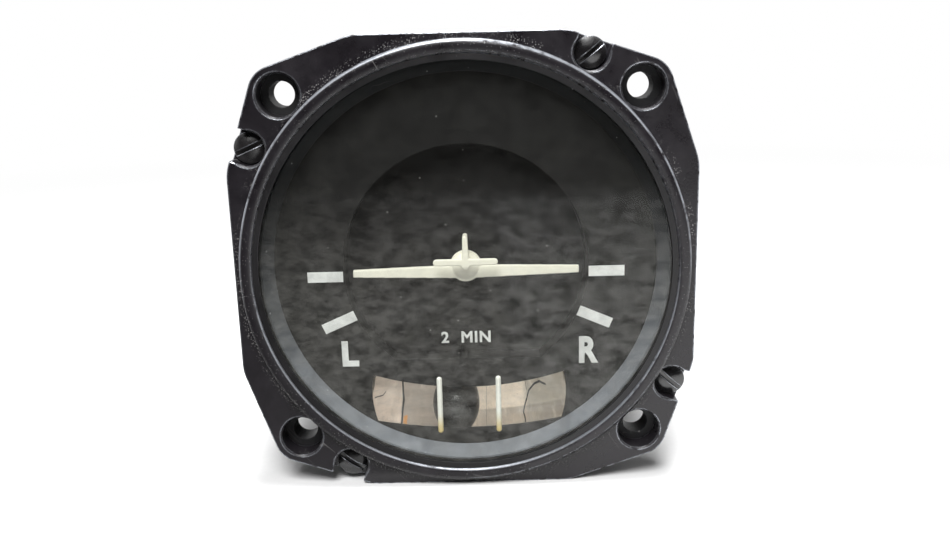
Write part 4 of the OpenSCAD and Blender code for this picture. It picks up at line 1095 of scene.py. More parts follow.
@dataclass(frozen=True)
class AgedStrip(Finish):
    """The pale strip behind the ball: paint that has yellowed, cracked and lifted, with a glow of painted
    light in place of the light that the filled tube gathers onto it.
    """

    left: Colour = (232, 213, 197)
    left_inner: Colour = (180, 166, 153)
    right: Colour = (246, 228, 207)
    right_end: Colour = (182, 172, 157)
    # Colour of the two bands of painted shade.
    shaded: Colour = (142, 129, 117)
    stained: Colour = (158, 144, 128)
    # Pale tone, laid over the strip in soft patches.
    faded_and_shaded: Colour = (250, 238, 224)
    ink: Colour = (26, 22, 20)
    amber: Colour = (224, 150, 52)
    # Painted light: the strip glows with its own colour.
    glow: float = 0.4
    bend_height: float = BEND_HEIGHT
    first_break: float = -13.4 * MM
    second_break: float = 10.8 * MM
    blur: float = 0.25 * MM
    wide_blur: float = 1.0 * MM
    waver: float = 1.2 * MM
    ball_shade: Range = (-7.0 * MM, 2.0 * MM)
    # Where the bands of painted shade lie, and how dark they are.
    low_drop: Range = (91.78 * MM, 91.95 * MM)
    low_across: Range = (0.0, 3 * MM)
    low_share: float = 0.6
    high_drop: Range = (90.2 * MM, 90.9 * MM)
    high_across: Range = (-14 * MM, -13 * MM)
    high_kept: float = 0.25
    high_share: float = 0.5
    streak_shape: Point = (0.3, 1.0, 3.0)
    streaks: Range = (0.92, 1.05)
    stain_share: float = 0.3
    faded_share: float = 0.35
    roughness: Range = (0.55, 0.75)
    lift: float = 0.08 * MM
    crack_wander: float = 0.25 * MM
    crack_lines: tuple[tuple[float, tuple[Range, ...]], ...] = (
        (0.22, ((-13.8, -27.3), (-13.5, -28.4), (-13.15, -29.5), (-13.25, -30.4), (-13.3, -31.8))),
        (0.06, ((-18.8, -28.75), (-17.3, -28.7), (-16.8, -28.45))),
        (0.13, ((15.2, -28.3), (14.1, -28.1), (12.9, -28.45), (11.8, -29.1), (11.0, -30.1), (10.4, -30.9))),
        (0.13, ((10.4, -30.9), (10.65, -31.2), (10.5, -31.9))),
        (0.05, ((11.05, -27.6), (11.4, -29.0))),
        (0.05, ((13.95, -27.2), (13.8, -28.1))),
        (0.03, ((3.4, -28.8), (3.15, -31.8))),
    )
    spot: tuple[Range, Range] = ((-12.85, -30.9), (-12.35, -30.9))
    spot_width: float = 0.16
    spot_share: float = 0.85

    def drawn(self, graph: Graph, ends: Sequence[Range], width: float, wander: float) -> Socket:
        """Draws one straight piece of a crack.

        Args:
            graph: The material's graph.
            ends: The X and Z of its two ends, in millimetres.
            width: Its half width, in millimetres.
            wander: How far it strays, in metres.

        Returns:
            The mask of the line.
        """
        (from_x, from_z), (to_x, to_z) = ends
        start, end = (from_x * MM, 0.0, from_z * MM), (to_x * MM, 0.0, to_z * MM)
        return graph.effect(CRACK, From=start, To=end, Width=width * MM, Wander=wander)["Mask"]

    def fields(self, graph: Graph, across: Socket) -> Socket:
        """Colours the strip's four fields from left to right.

        Args:
            graph: The material's graph.
            across: The X of the shaded point.

        Returns:
            The colour.
        """
        wave = graph.times(graph.less(graph.noise(graph.place(), scale=260.0), MIDDLE), self.waver)
        side = graph.plus(across, wave)
        first, second, blur = self.first_break, self.second_break, self.blur
        tone = graph.blend(graph.span(side, first - blur, first + blur), self.left, self.left_inner)
        tone = graph.blend(graph.span(side, *self.ball_shade), tone, self.right)
        return graph.blend(graph.span(side, second - blur, second + self.wide_blur), tone, self.right_end)

    def shade(self, graph: Graph, across: Socket) -> Socket:
        """Finds the two bands of painted shade, where the tube's edges darken the strip.

        Args:
            graph: The material's graph.
            across: The X of the shaded point.

        Returns:
            The mask of the bands.
        """
        centre = (0.0, 0.0, self.bend_height)
        drop = graph.length(graph.stretched(graph.away(graph.place(), centre), FACING))
        right = graph.span(across, *self.low_across)
        low = graph.times(graph.span(drop, *self.low_drop), right, self.low_share)
        left = graph.span(across, *self.high_across, 1.0, self.high_kept)
        high = graph.times(graph.span(drop, *self.high_drop, 1.0, 0.0), left, self.high_share)
        return graph.higher(low, high)

    def surface(self, graph: Graph) -> Socket:
        """Paints the strip's four fields, its stains, its cracks and its bands of painted shade, as flat as
        the tube shows them, and makes it glow with painted light.

        Args:
            graph: The material's graph.

        Returns:
            The shader's output.
        """
        place = graph.place()
        across = graph.parts(place)[0]
        tone = graph.blend(self.shade(graph, across), self.fields(graph, across), self.shaded)
        streaks = graph.noise(graph.stretched(place, self.streak_shape), scale=900.0)
        tone = graph.scaled(tone, graph.span(streaks, *NARROW, *self.streaks))
        stains = graph.effect(SMUDGE, Scale=420.0, Low=0.46, High=0.72)["Mask"]
        tone = graph.blend(graph.times(stains, self.stain_share), tone, self.stained)
        pale = graph.effect(SMUDGE, Scale=300.0, Low=0.52, High=0.68)["Mask"]
        tone = graph.blend(graph.times(pale, self.faded_share), tone, self.faded_and_shaded)
        lines: Value = 0.0
        for width, points in self.crack_lines:
            for ends in zip(points, points[1:]):
                lines = graph.higher(self.drawn(graph, ends, width, self.crack_wander), lines)
        tone = graph.blend(lines, tone, self.ink)
        dot = self.drawn(graph, self.spot, self.spot_width, 0.0)
        tone = graph.blend(graph.times(dot, self.spot_share), tone, self.amber)
        height = graph.less(graph.noise(place, scale=500.0), lines)
        return graph.principled(
            Emission_Strength=self.glow, Emission_Color=tone, Base_Color=tone,
            Roughness=graph.span(graph.noise(place, scale=2000.0), *NARROW, *self.roughness),
            Normal=relief(graph, height, self.lift, graph.normal()),
        )


@dataclass(frozen=True)
class Laminate(Finish):
    """A circuit board: glass laminate under green resist with raised tracks."""

    resist: Colour = (34, 82, 48)
    track: Colour = (62, 122, 74)
    pitch: float = 2.54 * MM
    track_width: float = 0.3 * MM
    track_depth: float = 0.04 * MM
    edge: float = 0.1 * MM
    weave: Range = (0.85, 1.12)
    roughness: Range = (0.28, 0.42)

    def surface(self, graph: Graph) -> Socket:
        """Lays tracks of a square grid, some of them left out, under the resist.

        Args:
            graph: The material's graph.

        Returns:
            The shader's output.
        """
        weave = graph.effect(GRAIN, Scale=2600.0)
        turned = graph.add("ShaderNodeVectorRotate", rotation_type="X_AXIS")
        graph.fill(turned, {"Vector": graph.place(), "Angle": math.pi / 2})
        cells = graph.add("ShaderNodeTexBrick", offset=0.5, squash=1.0)
        graph.fill(cells, {"Vector": turned.outputs[0], "Scale": 1.0, "Mortar_Size": self.track_width})
        graph.fill(cells, {"Brick_Width": 3 * self.pitch, "Row_Height": self.pitch})
        kept = graph.effect(SMUDGE, Scale=130.0, Low=0.45, High=0.5)["Mask"]
        tracks = graph.times(cells.outputs["Fac"], kept)
        tone = graph.blend(tracks, self.resist, self.track)
        edges = graph.effect(EDGE_WEAR, Radius=self.edge, Amount=0.4, Scale=900.0)
        return graph.principled(
            Base_Color=graph.scaled(tone, graph.span(weave["Fine"], *NARROW, *self.weave)),
            Roughness=graph.span(weave["Broad"], *NARROW, *self.roughness),
            Normal=relief(graph, tracks, self.track_depth, edges["Normal"]),
        )


@dataclass(frozen=True)
class Ridged(Finish):
    """Round ridges that stand across the rotor's axis: wound wire or stacked steel sheets."""

    colour: Colour
    gap: Colour
    film: Colour
    film_scale: float
    film_share: float
    pitch: float
    straying: float
    depth: float
    edge: float
    coat: float
    gap_edge: Range
    metal_edge: Range
    metallic: Range
    roughness: Range

    def surface(self, graph: Graph) -> Socket:
        """Draws the ridges, dark between them, with a film of varnish in places.

        Args:
            graph: The material's graph.

        Returns:
            The shader's output.
        """
        place = graph.place()
        shake = graph.times(graph.noise(place, scale=300.0), self.straying * self.pitch)
        ridge = graph.ridges(graph.plus(graph.parts(place)[0], shake), self.pitch)
        tone = graph.blend(graph.span(ridge, *self.gap_edge), self.gap, self.colour)
        film = graph.effect(SMUDGE, Scale=self.film_scale, Low=0.4, High=0.7)["Mask"]
        edges = graph.effect(EDGE_WEAR, Radius=self.edge, Amount=0.5, Scale=900.0)
        return graph.principled(
            Coat_Roughness=0.2, Coat_Weight=self.coat,
            Base_Color=graph.blend(graph.times(film, self.film_share), tone, self.film),
            Metallic=graph.span(ridge, *self.metal_edge, *self.metallic),
            Roughness=graph.span(film, 0.0, 1.0, *self.roughness),
            Normal=relief(graph, ridge, self.depth, edges["Normal"]),
        )


@dataclass
class Shelf:
    """Holds the finishes by slot name and makes each material once."""

    finishes: dict[str, Finish] = field(default_factory=dict)

    def material(self, slot: str) -> bpy.types.Material:
        """Finds a slot's material, and makes it the first time."""
        return bpy.data.materials.get(f"finish_{slot}") or self.finishes[slot].make(f"finish_{slot}")

    def dress(self, slot: str, *nodes: str) -> None:
        """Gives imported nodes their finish.

        Args:
            slot: The finish's slot name in the record.
            nodes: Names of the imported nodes.
        """
        material = self.material(slot)
        for name in nodes:
            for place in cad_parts[name].material_slots:
                place.material = material
            log.info("node %s dressed in %s", name, slot)

    def stock(self, slot: str, finish: Finish, *nodes: str) -> None:
        """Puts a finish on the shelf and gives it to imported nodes.

        Args:
            slot: The finish's slot name in the record.
            finish: The finish.
            nodes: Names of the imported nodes.
        """
        self.finishes[slot] = finish
        if nodes:
            self.dress(slot, *nodes)

    def add(self, piece: bpy.types.Object, slot: str, body: str, *replaced: str) -> None:
        """Puts a new piece in the model.

        Args:
            piece: The finished mesh object.
            slot: The finish's slot name in the record.
            body: The body that it moves with.
            replaced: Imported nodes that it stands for.
        """
        piece.data.materials.clear()
        piece.data.materials.append(self.material(slot))
        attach(piece, body)
        if replaced:
            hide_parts(*replaced)
        log.info("piece %s rides on %s, %d faces", piece.name, body, len(piece.data.polygons))


def linked(name: str, data: bpy.types.ID) -> bpy.types.Object:
    """Makes an object of a mesh, a text, a lamp or a camera and links it to the scene."""
    piece = bpy.data.objects.new(name, data)
    bpy.context.scene.collection.objects.link(piece)
    return piece


def shaped(piece: bpy.types.Object) -> bpy.types.Mesh:
    """Makes a mesh of an object as its modifiers or its text shape it.

    Args:
        piece: The object.

    Returns:
        The new mesh.
    """
    bpy.context.view_layer.update()
    seen = piece.evaluated_get(bpy.context.evaluated_depsgraph_get())
    return bpy.data.meshes.new_from_object(seen)


@dataclass
class Bezel:
    """The black front frame, the four screws in its notches, and the ring that holds the window."""

    lip_outside: float = 40.16 * MM
    lip_inside: float = 37.8 * MM

    def build(self, shelf: Shelf) -> None:
        """Dresses the bezel's nodes.

        Args:
            shelf: The finishes.
        """
        outside, inside = self.lip_outside, self.lip_inside
        bezel_black = Lacquer(
            colour=(29, 26, 30), stain=(40, 37, 41), roughness=0.27, edge=0.45 * MM, wear=0.72,
            dust=0.3, dust_scale=2600.0, dust_colour=(186, 184, 182),
            chipped=(
                Chips(radius=outside + 0.1 * MM, width=1.8 * MM, share=0.6),
                Chips(radius=inside + 0.3 * MM, width=0.8 * MM, share=0.4),
            ),
            crowned=(Crown(radius=0.5 * (inside + outside), width=0.8 * MM, depth=0.12 * MM),),
            # Painted highlights: bare metal on the lip's outer crest, strongest at the top, and on its inner
            # crest, strongest at the bottom, where the lamps' highlight falls on the round lip.
            highlight_rubs=(
                HighlightRub(radius=outside - 0.14 * MM, width=0.33 * MM, faint=-8 * MM, strong=14 * MM),
                HighlightRub(radius=inside + 0.14 * MM, width=0.34 * MM, faint=4 * MM, strong=-16 * MM),
            ),
        )
        screw_black = Lacquer(
            colour=(24, 23, 25), stain=(40, 37, 37), roughness=0.24, specular=0.9, edge=0.28 * MM, wear=0.8,
            dust=0.1, dust_scale=1700.0,
        )
        ring_black = Lacquer(
            colour=(16, 15, 17), stain=(30, 28, 30), roughness=0.42, edge=0.12 * MM, wear=0.25,
            dust=0.22, dust_scale=1900.0, scratches=0.0,
        )
        shelf.stock("bezel_black", bezel_black, "bezel")
        shelf.stock("screw_black", screw_black, "bezel_screws")
        shelf.stock("ring_black", ring_black, "window_retaining_ring")


@dataclass
class Window:
    """The glass, its gasket and the grey cone between it and the dial."""

    def build(self, shelf: Shelf) -> None:
        """Dresses the window's nodes.

        Args:
            shelf: The finishes.
        """
        rubber = Moulded(
            colour=(22, 22, 23), stain=(48, 46, 44), roughness=0.75, specular=0.3, grain_depth=0.02 * MM
        )
        reflector_grey = Lacquer(
            colour=(124, 127, 133), stain=(106, 109, 116), roughness=0.55, specular=0.15, edge=0.12 * MM,
            wear=0.0, dust=0.06, dust_scale=1400.0, dust_colour=(196, 198, 200), scratches=0.1,
            # Painted shade: the grey cone is darkened towards its top, where it faces down, away from the
            # lamps.
            painted_shade=ShadeByHeight(foot=-34 * MM, head=15 * MM, kept=0.08),
        )
        shelf.stock("window_glass", ClearGlass(tint=(252, 253, 252)), "window_glass")
        shelf.stock("gasket_rubber", rubber, "window_gasket", "flange_seal", "rear_gasket")
        shelf.stock("reflector_grey", reflector_grey, "reflector_ring")


@dataclass(frozen=True)
class Print:
    """One printed word or letter, its place on the dial in millimetres, and how much bolder it is set."""

    name: str
    words: str
    left: float
    right: float
    bottom: float
    top: float
    weight: float


@dataclass
class Dial:
    """The black dial with its marks and letters, and the sunk black background behind the aeroplane."""

    face: float = -6.0 * MM
    ink_lift: float = 0.002 * MM
    ink_depth: float = 0.05 * MM
    type_depth: float = 0.05
    type_spacing: float = 1.12
    type_rounds: int = 6
    prints: tuple[Print, ...] = (
        Print("letter_left", "L", left=-23.4, right=-20.3, bottom=-18.75, top=-13.8, weight=0.045),
        Print("letter_right", "R", left=20.6, right=24.2, bottom=-19.1, top=-13.9, weight=0.042),
        Print("turn_minutes", "2", left=-4.85, right=-3.42, bottom=-14.6, top=-12.4, weight=0.03),
        Print("turn_unit", "MIN", left=-1.12, right=4.27, bottom=-14.6, top=-12.4, weight=0.03),
    )

    def build(self, shelf: Shelf) -> None:
        """Dresses the dial's nodes and prints its letters.

        Args:
            shelf: The finishes.
        """
        dial_black = Lacquer(
            colour=(30, 29, 29), stain=(37, 36, 35), roughness=0.6, specular=0.12, edge=0.1 * MM, wear=0.1,
            dust=0.04, dust_scale=1130.0, grain_depth=0.004 * MM, scratches=0.03,
        )
        lining_black = replace(
            dial_black, colour=(25, 24, 24), stain=(32, 31, 31), roughness=0.65, specular=0.1, wear=0.0
        )
        mark_white = Lacquer(
            colour=(249, 249, 247), stain=(232, 231, 227), bare=(60, 60, 60), roughness=0.6, edge=0.05 * MM,
            wear=0.15, dust=0.05, dust_colour=(170, 168, 162), scratches=0.1,
        )
        shelf.stock("dial_black", dial_black, "dial_plate")
        shelf.stock("lining_black", lining_black, "recess_lining", "chassis_front_plate")
        shelf.stock("mark_white", mark_white, "dial_marks")
        for text in self.prints:
            shelf.add(self.printed(text), "mark_white", "instrument")

    def printed(self, text: Print) -> bpy.types.Object:
        """Makes a raised print and fits it to its place.

        Args:
            text: The word and its place.

        Returns:
            The thin mesh on the dial's face.
        """
        curve = bpy.data.curves.new(text.name, "FONT")
        curve.body = text.words
        curve.offset = text.weight
        curve.extrude = self.type_depth
        curve.space_character = self.type_spacing
        curve.resolution_u = self.type_rounds
        mesh = self.outline(curve)
        corners = [vertex.co.copy() for vertex in mesh.vertices]
        low = [min(corner[axis] for corner in corners) for axis in range(3)]
        high = [max(corner[axis] for corner in corners) for axis in range(3)]
        wide = (text.right - text.left) * MM / (high[0] - low[0])
        tall = (text.top - text.bottom) * MM / (high[1] - low[1])
        deep = self.ink_depth / (high[2] - low[2])
        for vertex, corner in zip(mesh.vertices, corners):
            vertex.co = (
                text.left * MM + (corner[0] - low[0]) * wide,
                self.face - self.ink_lift - (corner[2] - low[2]) * deep,
                text.bottom * MM + (corner[1] - low[1]) * tall,
            )
        return linked(text.name, mesh)

    def outline(self, curve: bpy.types.TextCurve) -> bpy.types.Mesh:
        """Turns a text into a mesh.

        Args:
            curve: The text, in its own plane.

        Returns:
            The mesh of the letters.
        """
        lettering = linked(curve.name + "_outline", curve)
        mesh = shaped(lettering)
        bpy.data.objects.remove(lettering)
        return mesh


@dataclass
class Pointer:
    """The aeroplane figure on its shaft, with the fork that turns it."""

    rotor_place: Point = (0.0, 44.953 * MM, 0.0)
    voxel: float = 0.11 * MM
    softening: int = 5
    softness: float = 0.5

    def build(self, shelf: Shelf) -> None:
        """Moulds the aeroplane and dresses the rest of the pointer.

        Args:
            shelf: The finishes.
        """
        # Painted light: the cream glows, which brightens the whole figure and its shaded lower half with it.
        cream = Moulded(
            colour=(241, 237, 221), stain=(222, 214, 194), roughness=0.4, dust=0.02, mottle=0.02, dirt=0.12,
            grain_depth=0.004 * MM, glow=0.19,
        )
        brass = Metal(
            colour=(206, 170, 96), tarnish=(128, 92, 48), axis=ACROSS, centre=self.rotor_place
        )
        steel = Metal(colour=(176, 178, 182), tarnish=(112, 106, 98), roughness=0.28)
        bearing = Metal(colour=(206, 208, 212), tarnish=(150, 148, 144), roughness=0.16, lines=6000.0)
        aluminium = Metal(colour=(188, 190, 194), tarnish=(136, 136, 136), roughness=0.36, lines=2600.0)
        shelf.stock("aeroplane_cream", cream)
        shelf.add(self.figure(), "aeroplane_cream", "pointer", "miniature_aeroplane")
        shelf.stock("steel", steel, "pointer_shaft")
        shelf.stock("brass", brass, "pointer_fork")
        shelf.stock("bearing_steel", bearing, "pointer_bearings")
        shelf.stock("aluminium", aluminium, "pointer_bridge")

    def figure(self) -> bpy.types.Object:
        """Rounds the aeroplane as a moulding is, with soft joins between its forms.

        Returns:
            The figure as one closed mesh.
        """
        piece = linked("aeroplane_figure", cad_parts["miniature_aeroplane"].data.copy())
        remesh = piece.modifiers.new("Remesh", "REMESH")
        remesh.mode = "VOXEL"
        remesh.voxel_size = self.voxel
        remesh.use_smooth_shade = True
        smooth = piece.modifiers.new("Smooth", "SMOOTH")
        smooth.factor = self.softness
        smooth.iterations = self.softening
        mesh = shaped(piece)
        piece.modifiers.clear()
        piece.data = mesh
        return piece


@dataclass
class Inclinometer:
    """The curved tube with its ball, plugs, strip and reference wires."""

    bend_r: float = 89.3 * MM
    bend_height: float = BEND_HEIGHT
    tube_r: float = 5.1 * MM
    rounds: int = 64
    steps: int = 72

    def build(self, shelf: Shelf) -> None:
        """Dresses the inclinometer's nodes.

        Args:
            shelf: The finishes.
        """
        ball_black = Moulded(
            colour=(12, 12, 12), stain=(26, 25, 24), roughness=0.3, dust=0.0, mottle=0.1,
            grain_depth=0.002 * MM,
        )
        cork = Moulded(
            colour=(176, 164, 146), stain=(120, 106, 90), roughness=0.85, grain_scale=1800.0,
            grain_depth=0.05 * MM, mottle=0.2,
        )
        shelf.stock("tube_glass", FilledGlass())
        shelf.add(self.filled_tube(), "tube_glass", "instrument", "inclinometer_tube")
        shelf.stock("ball_black", ball_black, "inclinometer_ball")
        shelf.stock("plug_cork", cork, "tube_end_plugs")
        shelf.stock("backing_beige", AgedStrip(), "tube_backing")
        shelf.stock("wire_cream", WireCoat(), "reference_wires")
        shelf.dress("aluminium", "tube_holder")

    def filled_tube(self) -> bpy.types.Object:
        """Sweeps the tube's outline along its bend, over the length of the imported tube.

        Returns:
            The closed tube, with the spirit that fills it.
        """
        low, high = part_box("inclinometer_tube")
        middle = 0.5 * (low[1] + high[1])
        half_angle = math.asin(high[0] / (self.bend_r + self.tube_r))
        corners, faces = [], []
        for step in range(self.steps + 1):
            along = half_angle * (2 * step / self.steps - 1)
            for part in range(self.rounds):
                way = 2 * math.pi * part / self.rounds
                far = self.bend_r + self.tube_r * math.cos(way)
                deep = middle + self.tube_r * math.sin(way)
                corners.append((far * math.sin(along), deep, self.bend_height - far * math.cos(along)))
        for step in range(self.steps):
            here, there = step * self.rounds, (step + 1) * self.rounds
            for part in range(self.rounds):
                beside = (part + 1) % self.rounds
                faces.append((here + part, here + beside, there + beside, there + part))
        faces.append(tuple(range(self.rounds - 1, -1, -1)))
        faces.append(tuple(self.steps * self.rounds + part for part in range(self.rounds)))
        mesh = bpy.data.meshes.new("filled_tube")
        mesh.from_pydata(corners, [], faces)
        mesh.polygons.foreach_set("use_smooth", [len(face) == 4 for face in faces])
        return linked("filled_tube", mesh)


@dataclass
class CaseBody:
    """The can behind the panel with its cover, connector and blank data plate."""

    connector_height: float = 11 * MM

    def build(self, shelf: Shelf) -> None:
        """Dresses the nodes of the case and its back.

        Args:
            shelf: The finishes.
        """
        case_black = Lacquer(
            colour=(30, 30, 32), stain=(46, 45, 45), roughness=0.5, edge=0.3 * MM, wear=0.4, dust=0.06,
            grain_scale=1500.0, grain_depth=0.05 * MM,
        )
        label = Metal(
            colour=(184, 186, 188), tarnish=(128, 124, 116), roughness=0.4, axis=ACROSS, lines=3000.0
        )
        connector = Metal(
            colour=(112, 112, 106), tarnish=(84, 82, 72), roughness=0.42,
            centre=(0.0, 0.0, self.connector_height), lines=2200.0,
        )
        insert = Moulded(colour=(58, 60, 62), stain=(84, 82, 78), roughness=0.6, dust=0.12)
        gold = Metal(colour=(226, 184, 96), tarnish=(168, 124, 58), roughness=0.22)
        shelf.stock("case_black", case_black, "case", "rear_cover")
        shelf.stock("label_plate", label, "data_plate")
        shelf.stock("connector_grey", connector, "connector_shell")
        shelf.stock("insert_grey", insert, "connector_insert")
        shelf.stock("contact_gold", gold, "connector_pins")
        shelf.dress("steel", "rear_screws", "connector_screws")
        shelf.dress("aluminium", "plate_rivets")


@dataclass
class Mechanism:
    """What stands inside the case: chassis, gimbal, rotor, spring, damper and circuit board."""

    sheet: float = 0.35 * MM
    wire: float = 0.35 * MM

    def build(self, shelf: Shelf) -> None:
        """Dresses the inner nodes.

        Args:
            shelf: The finishes.
        """
        sheets = Ridged(
            colour=(128, 130, 134), gap=(58, 44, 34), film=(96, 84, 72), film_scale=260.0, film_share=0.5,
            pitch=self.sheet, straying=0.0, depth=0.03 * MM, edge=0.08 * MM, coat=0.0,
            gap_edge=(0.15, 0.5), metal_edge=(0.15, 0.5), metallic=(0.3, 0.95), roughness=(0.36, 0.52),
        )
        winding = Ridged(
            colour=(148, 74, 34), gap=(52, 24, 12), film=(196, 116, 60), film_scale=500.0, film_share=0.4,
            pitch=self.wire, straying=0.5, depth=0.12 * MM, edge=0.0, coat=0.5, gap_edge=(0.1, 0.6),
            metal_edge=WIDE, metallic=(0.2, 0.85), roughness=(0.3, 0.42),
        )
        dark = Moulded(colour=(40, 40, 42), stain=(70, 66, 62), roughness=0.5, dust=0.1)
        insulation = Moulded(colour=(198, 192, 178), stain=(150, 140, 120), roughness=0.45)
        shelf.dress("aluminium", "chassis_posts", "chassis_rear_plate", "board_standoffs", "gimbal_frame")
        shelf.dress("aluminium", "front_pivot_bracket", "rear_pivot_bracket", "spring_arm")
        shelf.dress("aluminium", "damper_piston", "damper_cylinder", "damper_bracket")
        shelf.dress("steel", "chassis_screws", "stop_pins", "gimbal_pivots", "drive_pin", "rotor_axle")
        shelf.dress("steel", "axle_nuts", "spring_post", "centring_spring", "damper_pin")
        shelf.dress("bearing_steel", "gimbal_bearings", "rotor_bearings")
        shelf.dress("brass", "gyro_rotor", "rotor_end_cover")
        shelf.stock("core_steel", sheets, "stator_core")
        shelf.stock("winding_copper", winding, "stator_windings")
        shelf.stock("board_green", Laminate(), "circuit_board")
        shelf.stock("component_dark", dark, "board_parts")
        shelf.stock("wire_insulation", insulation, "lead_wires")


def looked_at(graph: Graph) -> Socket:
    """Tells the rays that show a surface from those that only light others.

    Args:
        graph: The graph of a floor's or world's material.

    Returns:
        1 for what the camera sees straight, mirrored or through glass, and 0 for the rest.
    """
    path = graph.add("ShaderNodeLightPath")
    kinds = ("Is Camera Ray", "Is Glossy Ray", "Is Transmission Ray")
    return graph.higher(*(path.outputs[kind] for kind in kinds))


@dataclass(frozen=True)
class PaleFloor(Finish):
    """The studio floor: pale paper that fades into the white world far from the object."""

    colour: Colour = (238, 238, 238)
    bounce: Colour = (84, 84, 84)
    fade_from: float = 0.14
    fade_to: float = 0.6
    uneven: Range = (0.985, 1.015)
    roughness: Range = (0.85, 0.95)

    def surface(self, graph: Graph) -> Socket:
        """Mixes lit paper with plain white by the distance from the object.

        Args:
            graph: The material's graph.

        Returns:
            The shader's output.
        """
        grain = graph.effect(GRAIN, Scale=1200.0)
        seen = looked_at(graph)
        tone = graph.blend(seen, self.bounce, self.colour)
        paper = graph.principled(
            Base_Color=graph.scaled(tone, graph.span(grain["Fine"], *WIDE, *self.uneven)),
            Roughness=graph.span(grain["Broad"], *WIDE, *self.roughness),
        )
        white = graph.add("ShaderNodeEmission")
        far = graph.span(graph.length(graph.place()), self.fade_from, self.fade_to)
        return graph.layered(graph.times(far, seen), paper, white.outputs[0])


@dataclass(frozen=True)
class DarkCard(Finish):
    """A dark card that fades to a pale tone along one axis, seen in reflections only."""

    axis: int = 2
    pale_at: float = -41.3 * MM
    dark_at: float = -33.3 * MM
    pale: Colour = (200, 200, 200)
    dark: Colour = (34, 31, 31)

    def surface(self, graph: Graph) -> Socket:
        """Wires a plain glow that falls off along the axis.

        Args:
            graph: The material's graph.

        Returns:
            The shader's output.
        """
        share = graph.span(graph.parts(graph.place())[self.axis], self.pale_at, self.dark_at)
        glow = graph.add("ShaderNodeEmission")
        graph.feed(glow.inputs["Color"], graph.blend(share, self.pale, self.dark))
        return glow.outputs[0]


@dataclass(frozen=True)
class Lamp:
    """A soft square lamp that looks at the object: its place, its side and its power in watts."""

    name: str
    place: Point
    size: float
    power: float


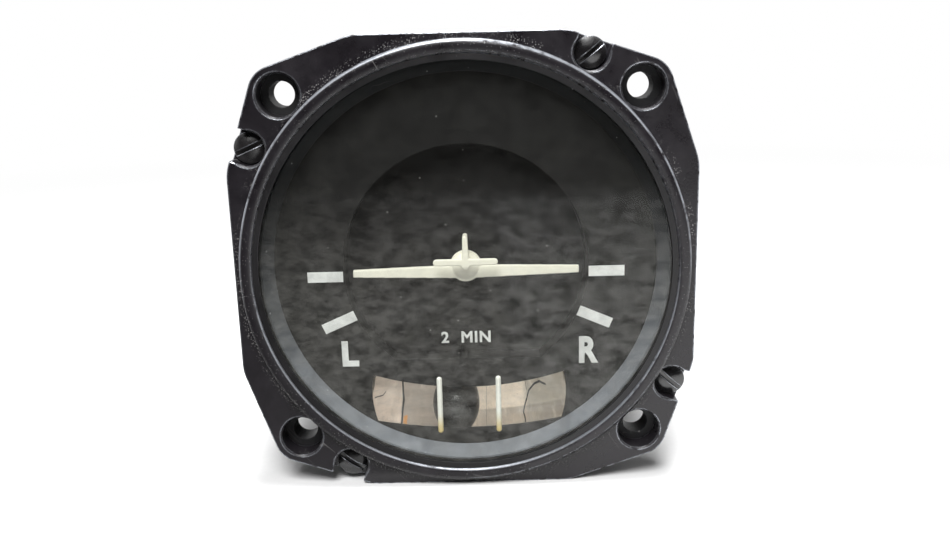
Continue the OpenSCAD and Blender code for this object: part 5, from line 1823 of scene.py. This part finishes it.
@dataclass
class Studio:
    """The floor, the lamps, the white world and the photograph's camera."""

    floor_level: float = -41.3 * MM
    floor_reach: float = 6.0
    card_away: float = 0.33
    card_half_width: float = 0.7
    card_height: float = 0.6
    laid_near: float = -12 * MM
    laid_right: float = 10 * MM
    laid_above: float = 0.5 * MM
    lamps: tuple[Lamp, ...] = (
        Lamp("key_lamp", place=(-0.1, -0.52, 0.7), size=0.42, power=9.5),
        Lamp("top_lamp", place=(0.06, 0.02, 0.8), size=0.3, power=7.5),
        Lamp("side_lamp", place=(0.7, -0.3, 0.4), size=0.4, power=0.4),
    )
    sky: float = 0.12
    layers: int = 24
    focal_px: float = 945.0
    picture_px: float = 950.0
    sensor: float = 36.0
    sight: Range = (0.01, 50.0)
    eye: Point = (2.965 * MM, -172.899 * MM, 40.121 * MM)
    right: Point = (0.999683, 0.001429, -0.025125)
    up: Point = (0.024084, 0.235207, 0.971647)
    ahead: Point = (-0.007298, 0.971944, -0.235098)

    def build(self) -> None:
        """Sets up the whole studio."""
        self.floor()
        self.cards()
        self.world()
        for lamp in self.lamps:
            self.hang(lamp)
        self.camera()
        bpy.context.scene.view_settings.view_transform = "Standard"
        bpy.context.scene.cycles.transparent_max_bounces = self.layers
        log.info("studio ready")

    def sheet(self, name: str, corners: Sequence[Point], finish: Finish) -> bpy.types.Object:
        """Makes a flat staged sheet.

        Args:
            name: The object's name.
            corners: Its four corners in order.
            finish: Its finish.

        Returns:
            The staged object.
        """
        mesh = bpy.data.meshes.new(name)
        mesh.from_pydata([Vector(c) for c in corners], [], [(0, 1, 2, 3)])
        mesh.materials.append(finish.make(name + "_finish"))
        piece = linked(name, mesh)
        return piece

    def floor(self) -> None:
        """Lays the floor under the object."""
        r, z = self.floor_reach, self.floor_level
        self.sheet("studio_floor", ((-r, -r, z), (r, -r, z), (r, r, z), (-r, r, z)), PaleFloor())

    def card(self, name: str, corners: Sequence[Point], finish: DarkCard) -> None:
        """Places a dark card that only reflections see.

        Args:
            name: The card's name.
            corners: Its four corners in order.
            finish: Its finish.
        """
        card = self.sheet(name, corners, finish)
        card.visible_camera = False
        card.visible_diffuse = False
        card.visible_transmission = False
        card.visible_shadow = False

    def cards(self) -> None:
        """Stands one card in front of the glass and lays one on the floor, before and left of it."""
        w, y, z = self.card_half_width, -self.card_away, self.floor_level
        top = z + self.card_height
        self.card("dark_card", ((-w, y, z), (w, y, z), (w, y, top), (-w, y, top)), DarkCard())
        near, right, level = self.laid_near, self.laid_right, z + self.laid_above
        laid = ((-w, y, level), (right, y, level), (right, near, level), (-w, near, level))
        fading = DarkCard(axis=0, pale_at=right, dark_at=-90 * MM, pale=(232, 232, 232), dark=(80, 78, 80))
        self.card("laid_card", laid, fading)

    def world(self) -> None:
        """Makes the world white where it is seen and grey where it lights."""
        world = bpy.data.worlds.new("studio_world")
        bpy.context.scene.world = world
        world.use_nodes = True
        world.node_tree.nodes.clear()
        graph = Graph(world.node_tree)
        seen = looked_at(graph)
        glow = graph.add("ShaderNodeBackground")
        graph.fill(glow, {"Color": WHITE, "Strength": graph.between(seen, self.sky, 1.0)})
        output = graph.add("ShaderNodeOutputWorld")
        graph.feed(output.inputs["Surface"], glow.outputs[0])

    def hang(self, lamp: Lamp) -> None:
        """Hangs a lamp.

        Args:
            lamp: What it is and where it hangs.
        """
        light = bpy.data.lights.new(lamp.name, "AREA")
        light.size = lamp.size
        light.energy = lamp.power
        hung = linked(lamp.name, light)
        hung.location = lamp.place
        hung.rotation_euler = (-Vector(lamp.place)).to_track_quat("-Z", "Y").to_euler()

    def camera(self) -> None:
        """Places the camera where the photograph was taken."""
        view = bpy.data.cameras.new("photo_camera")
        view.sensor_fit = "HORIZONTAL"
        view.sensor_width = self.sensor
        view.lens = self.sensor * self.focal_px / self.picture_px
        view.clip_start, view.clip_end = self.sight
        camera = linked("photo_camera", view)
        turn = Matrix((self.right, self.up, -Vector(self.ahead))).transposed()
        camera.matrix_world = Matrix.Translation(Vector(self.eye)) @ turn.to_4x4()
        bpy.context.scene.camera = camera


def main() -> None:
    """Builds the studio and the sub-assemblies in order."""
    logging.basicConfig(level=logging.INFO, format="%(name)s: %(message)s")
    Studio().build()
    shelf = Shelf()
    for assembly in (Bezel(), Window(), Dial(), Pointer(), Inclinometer(), CaseBody(), Mechanism()):
        assembly.build(shelf)
        log.info("%s built", type(assembly).__name__)


if __name__ == "__main__":
    main()
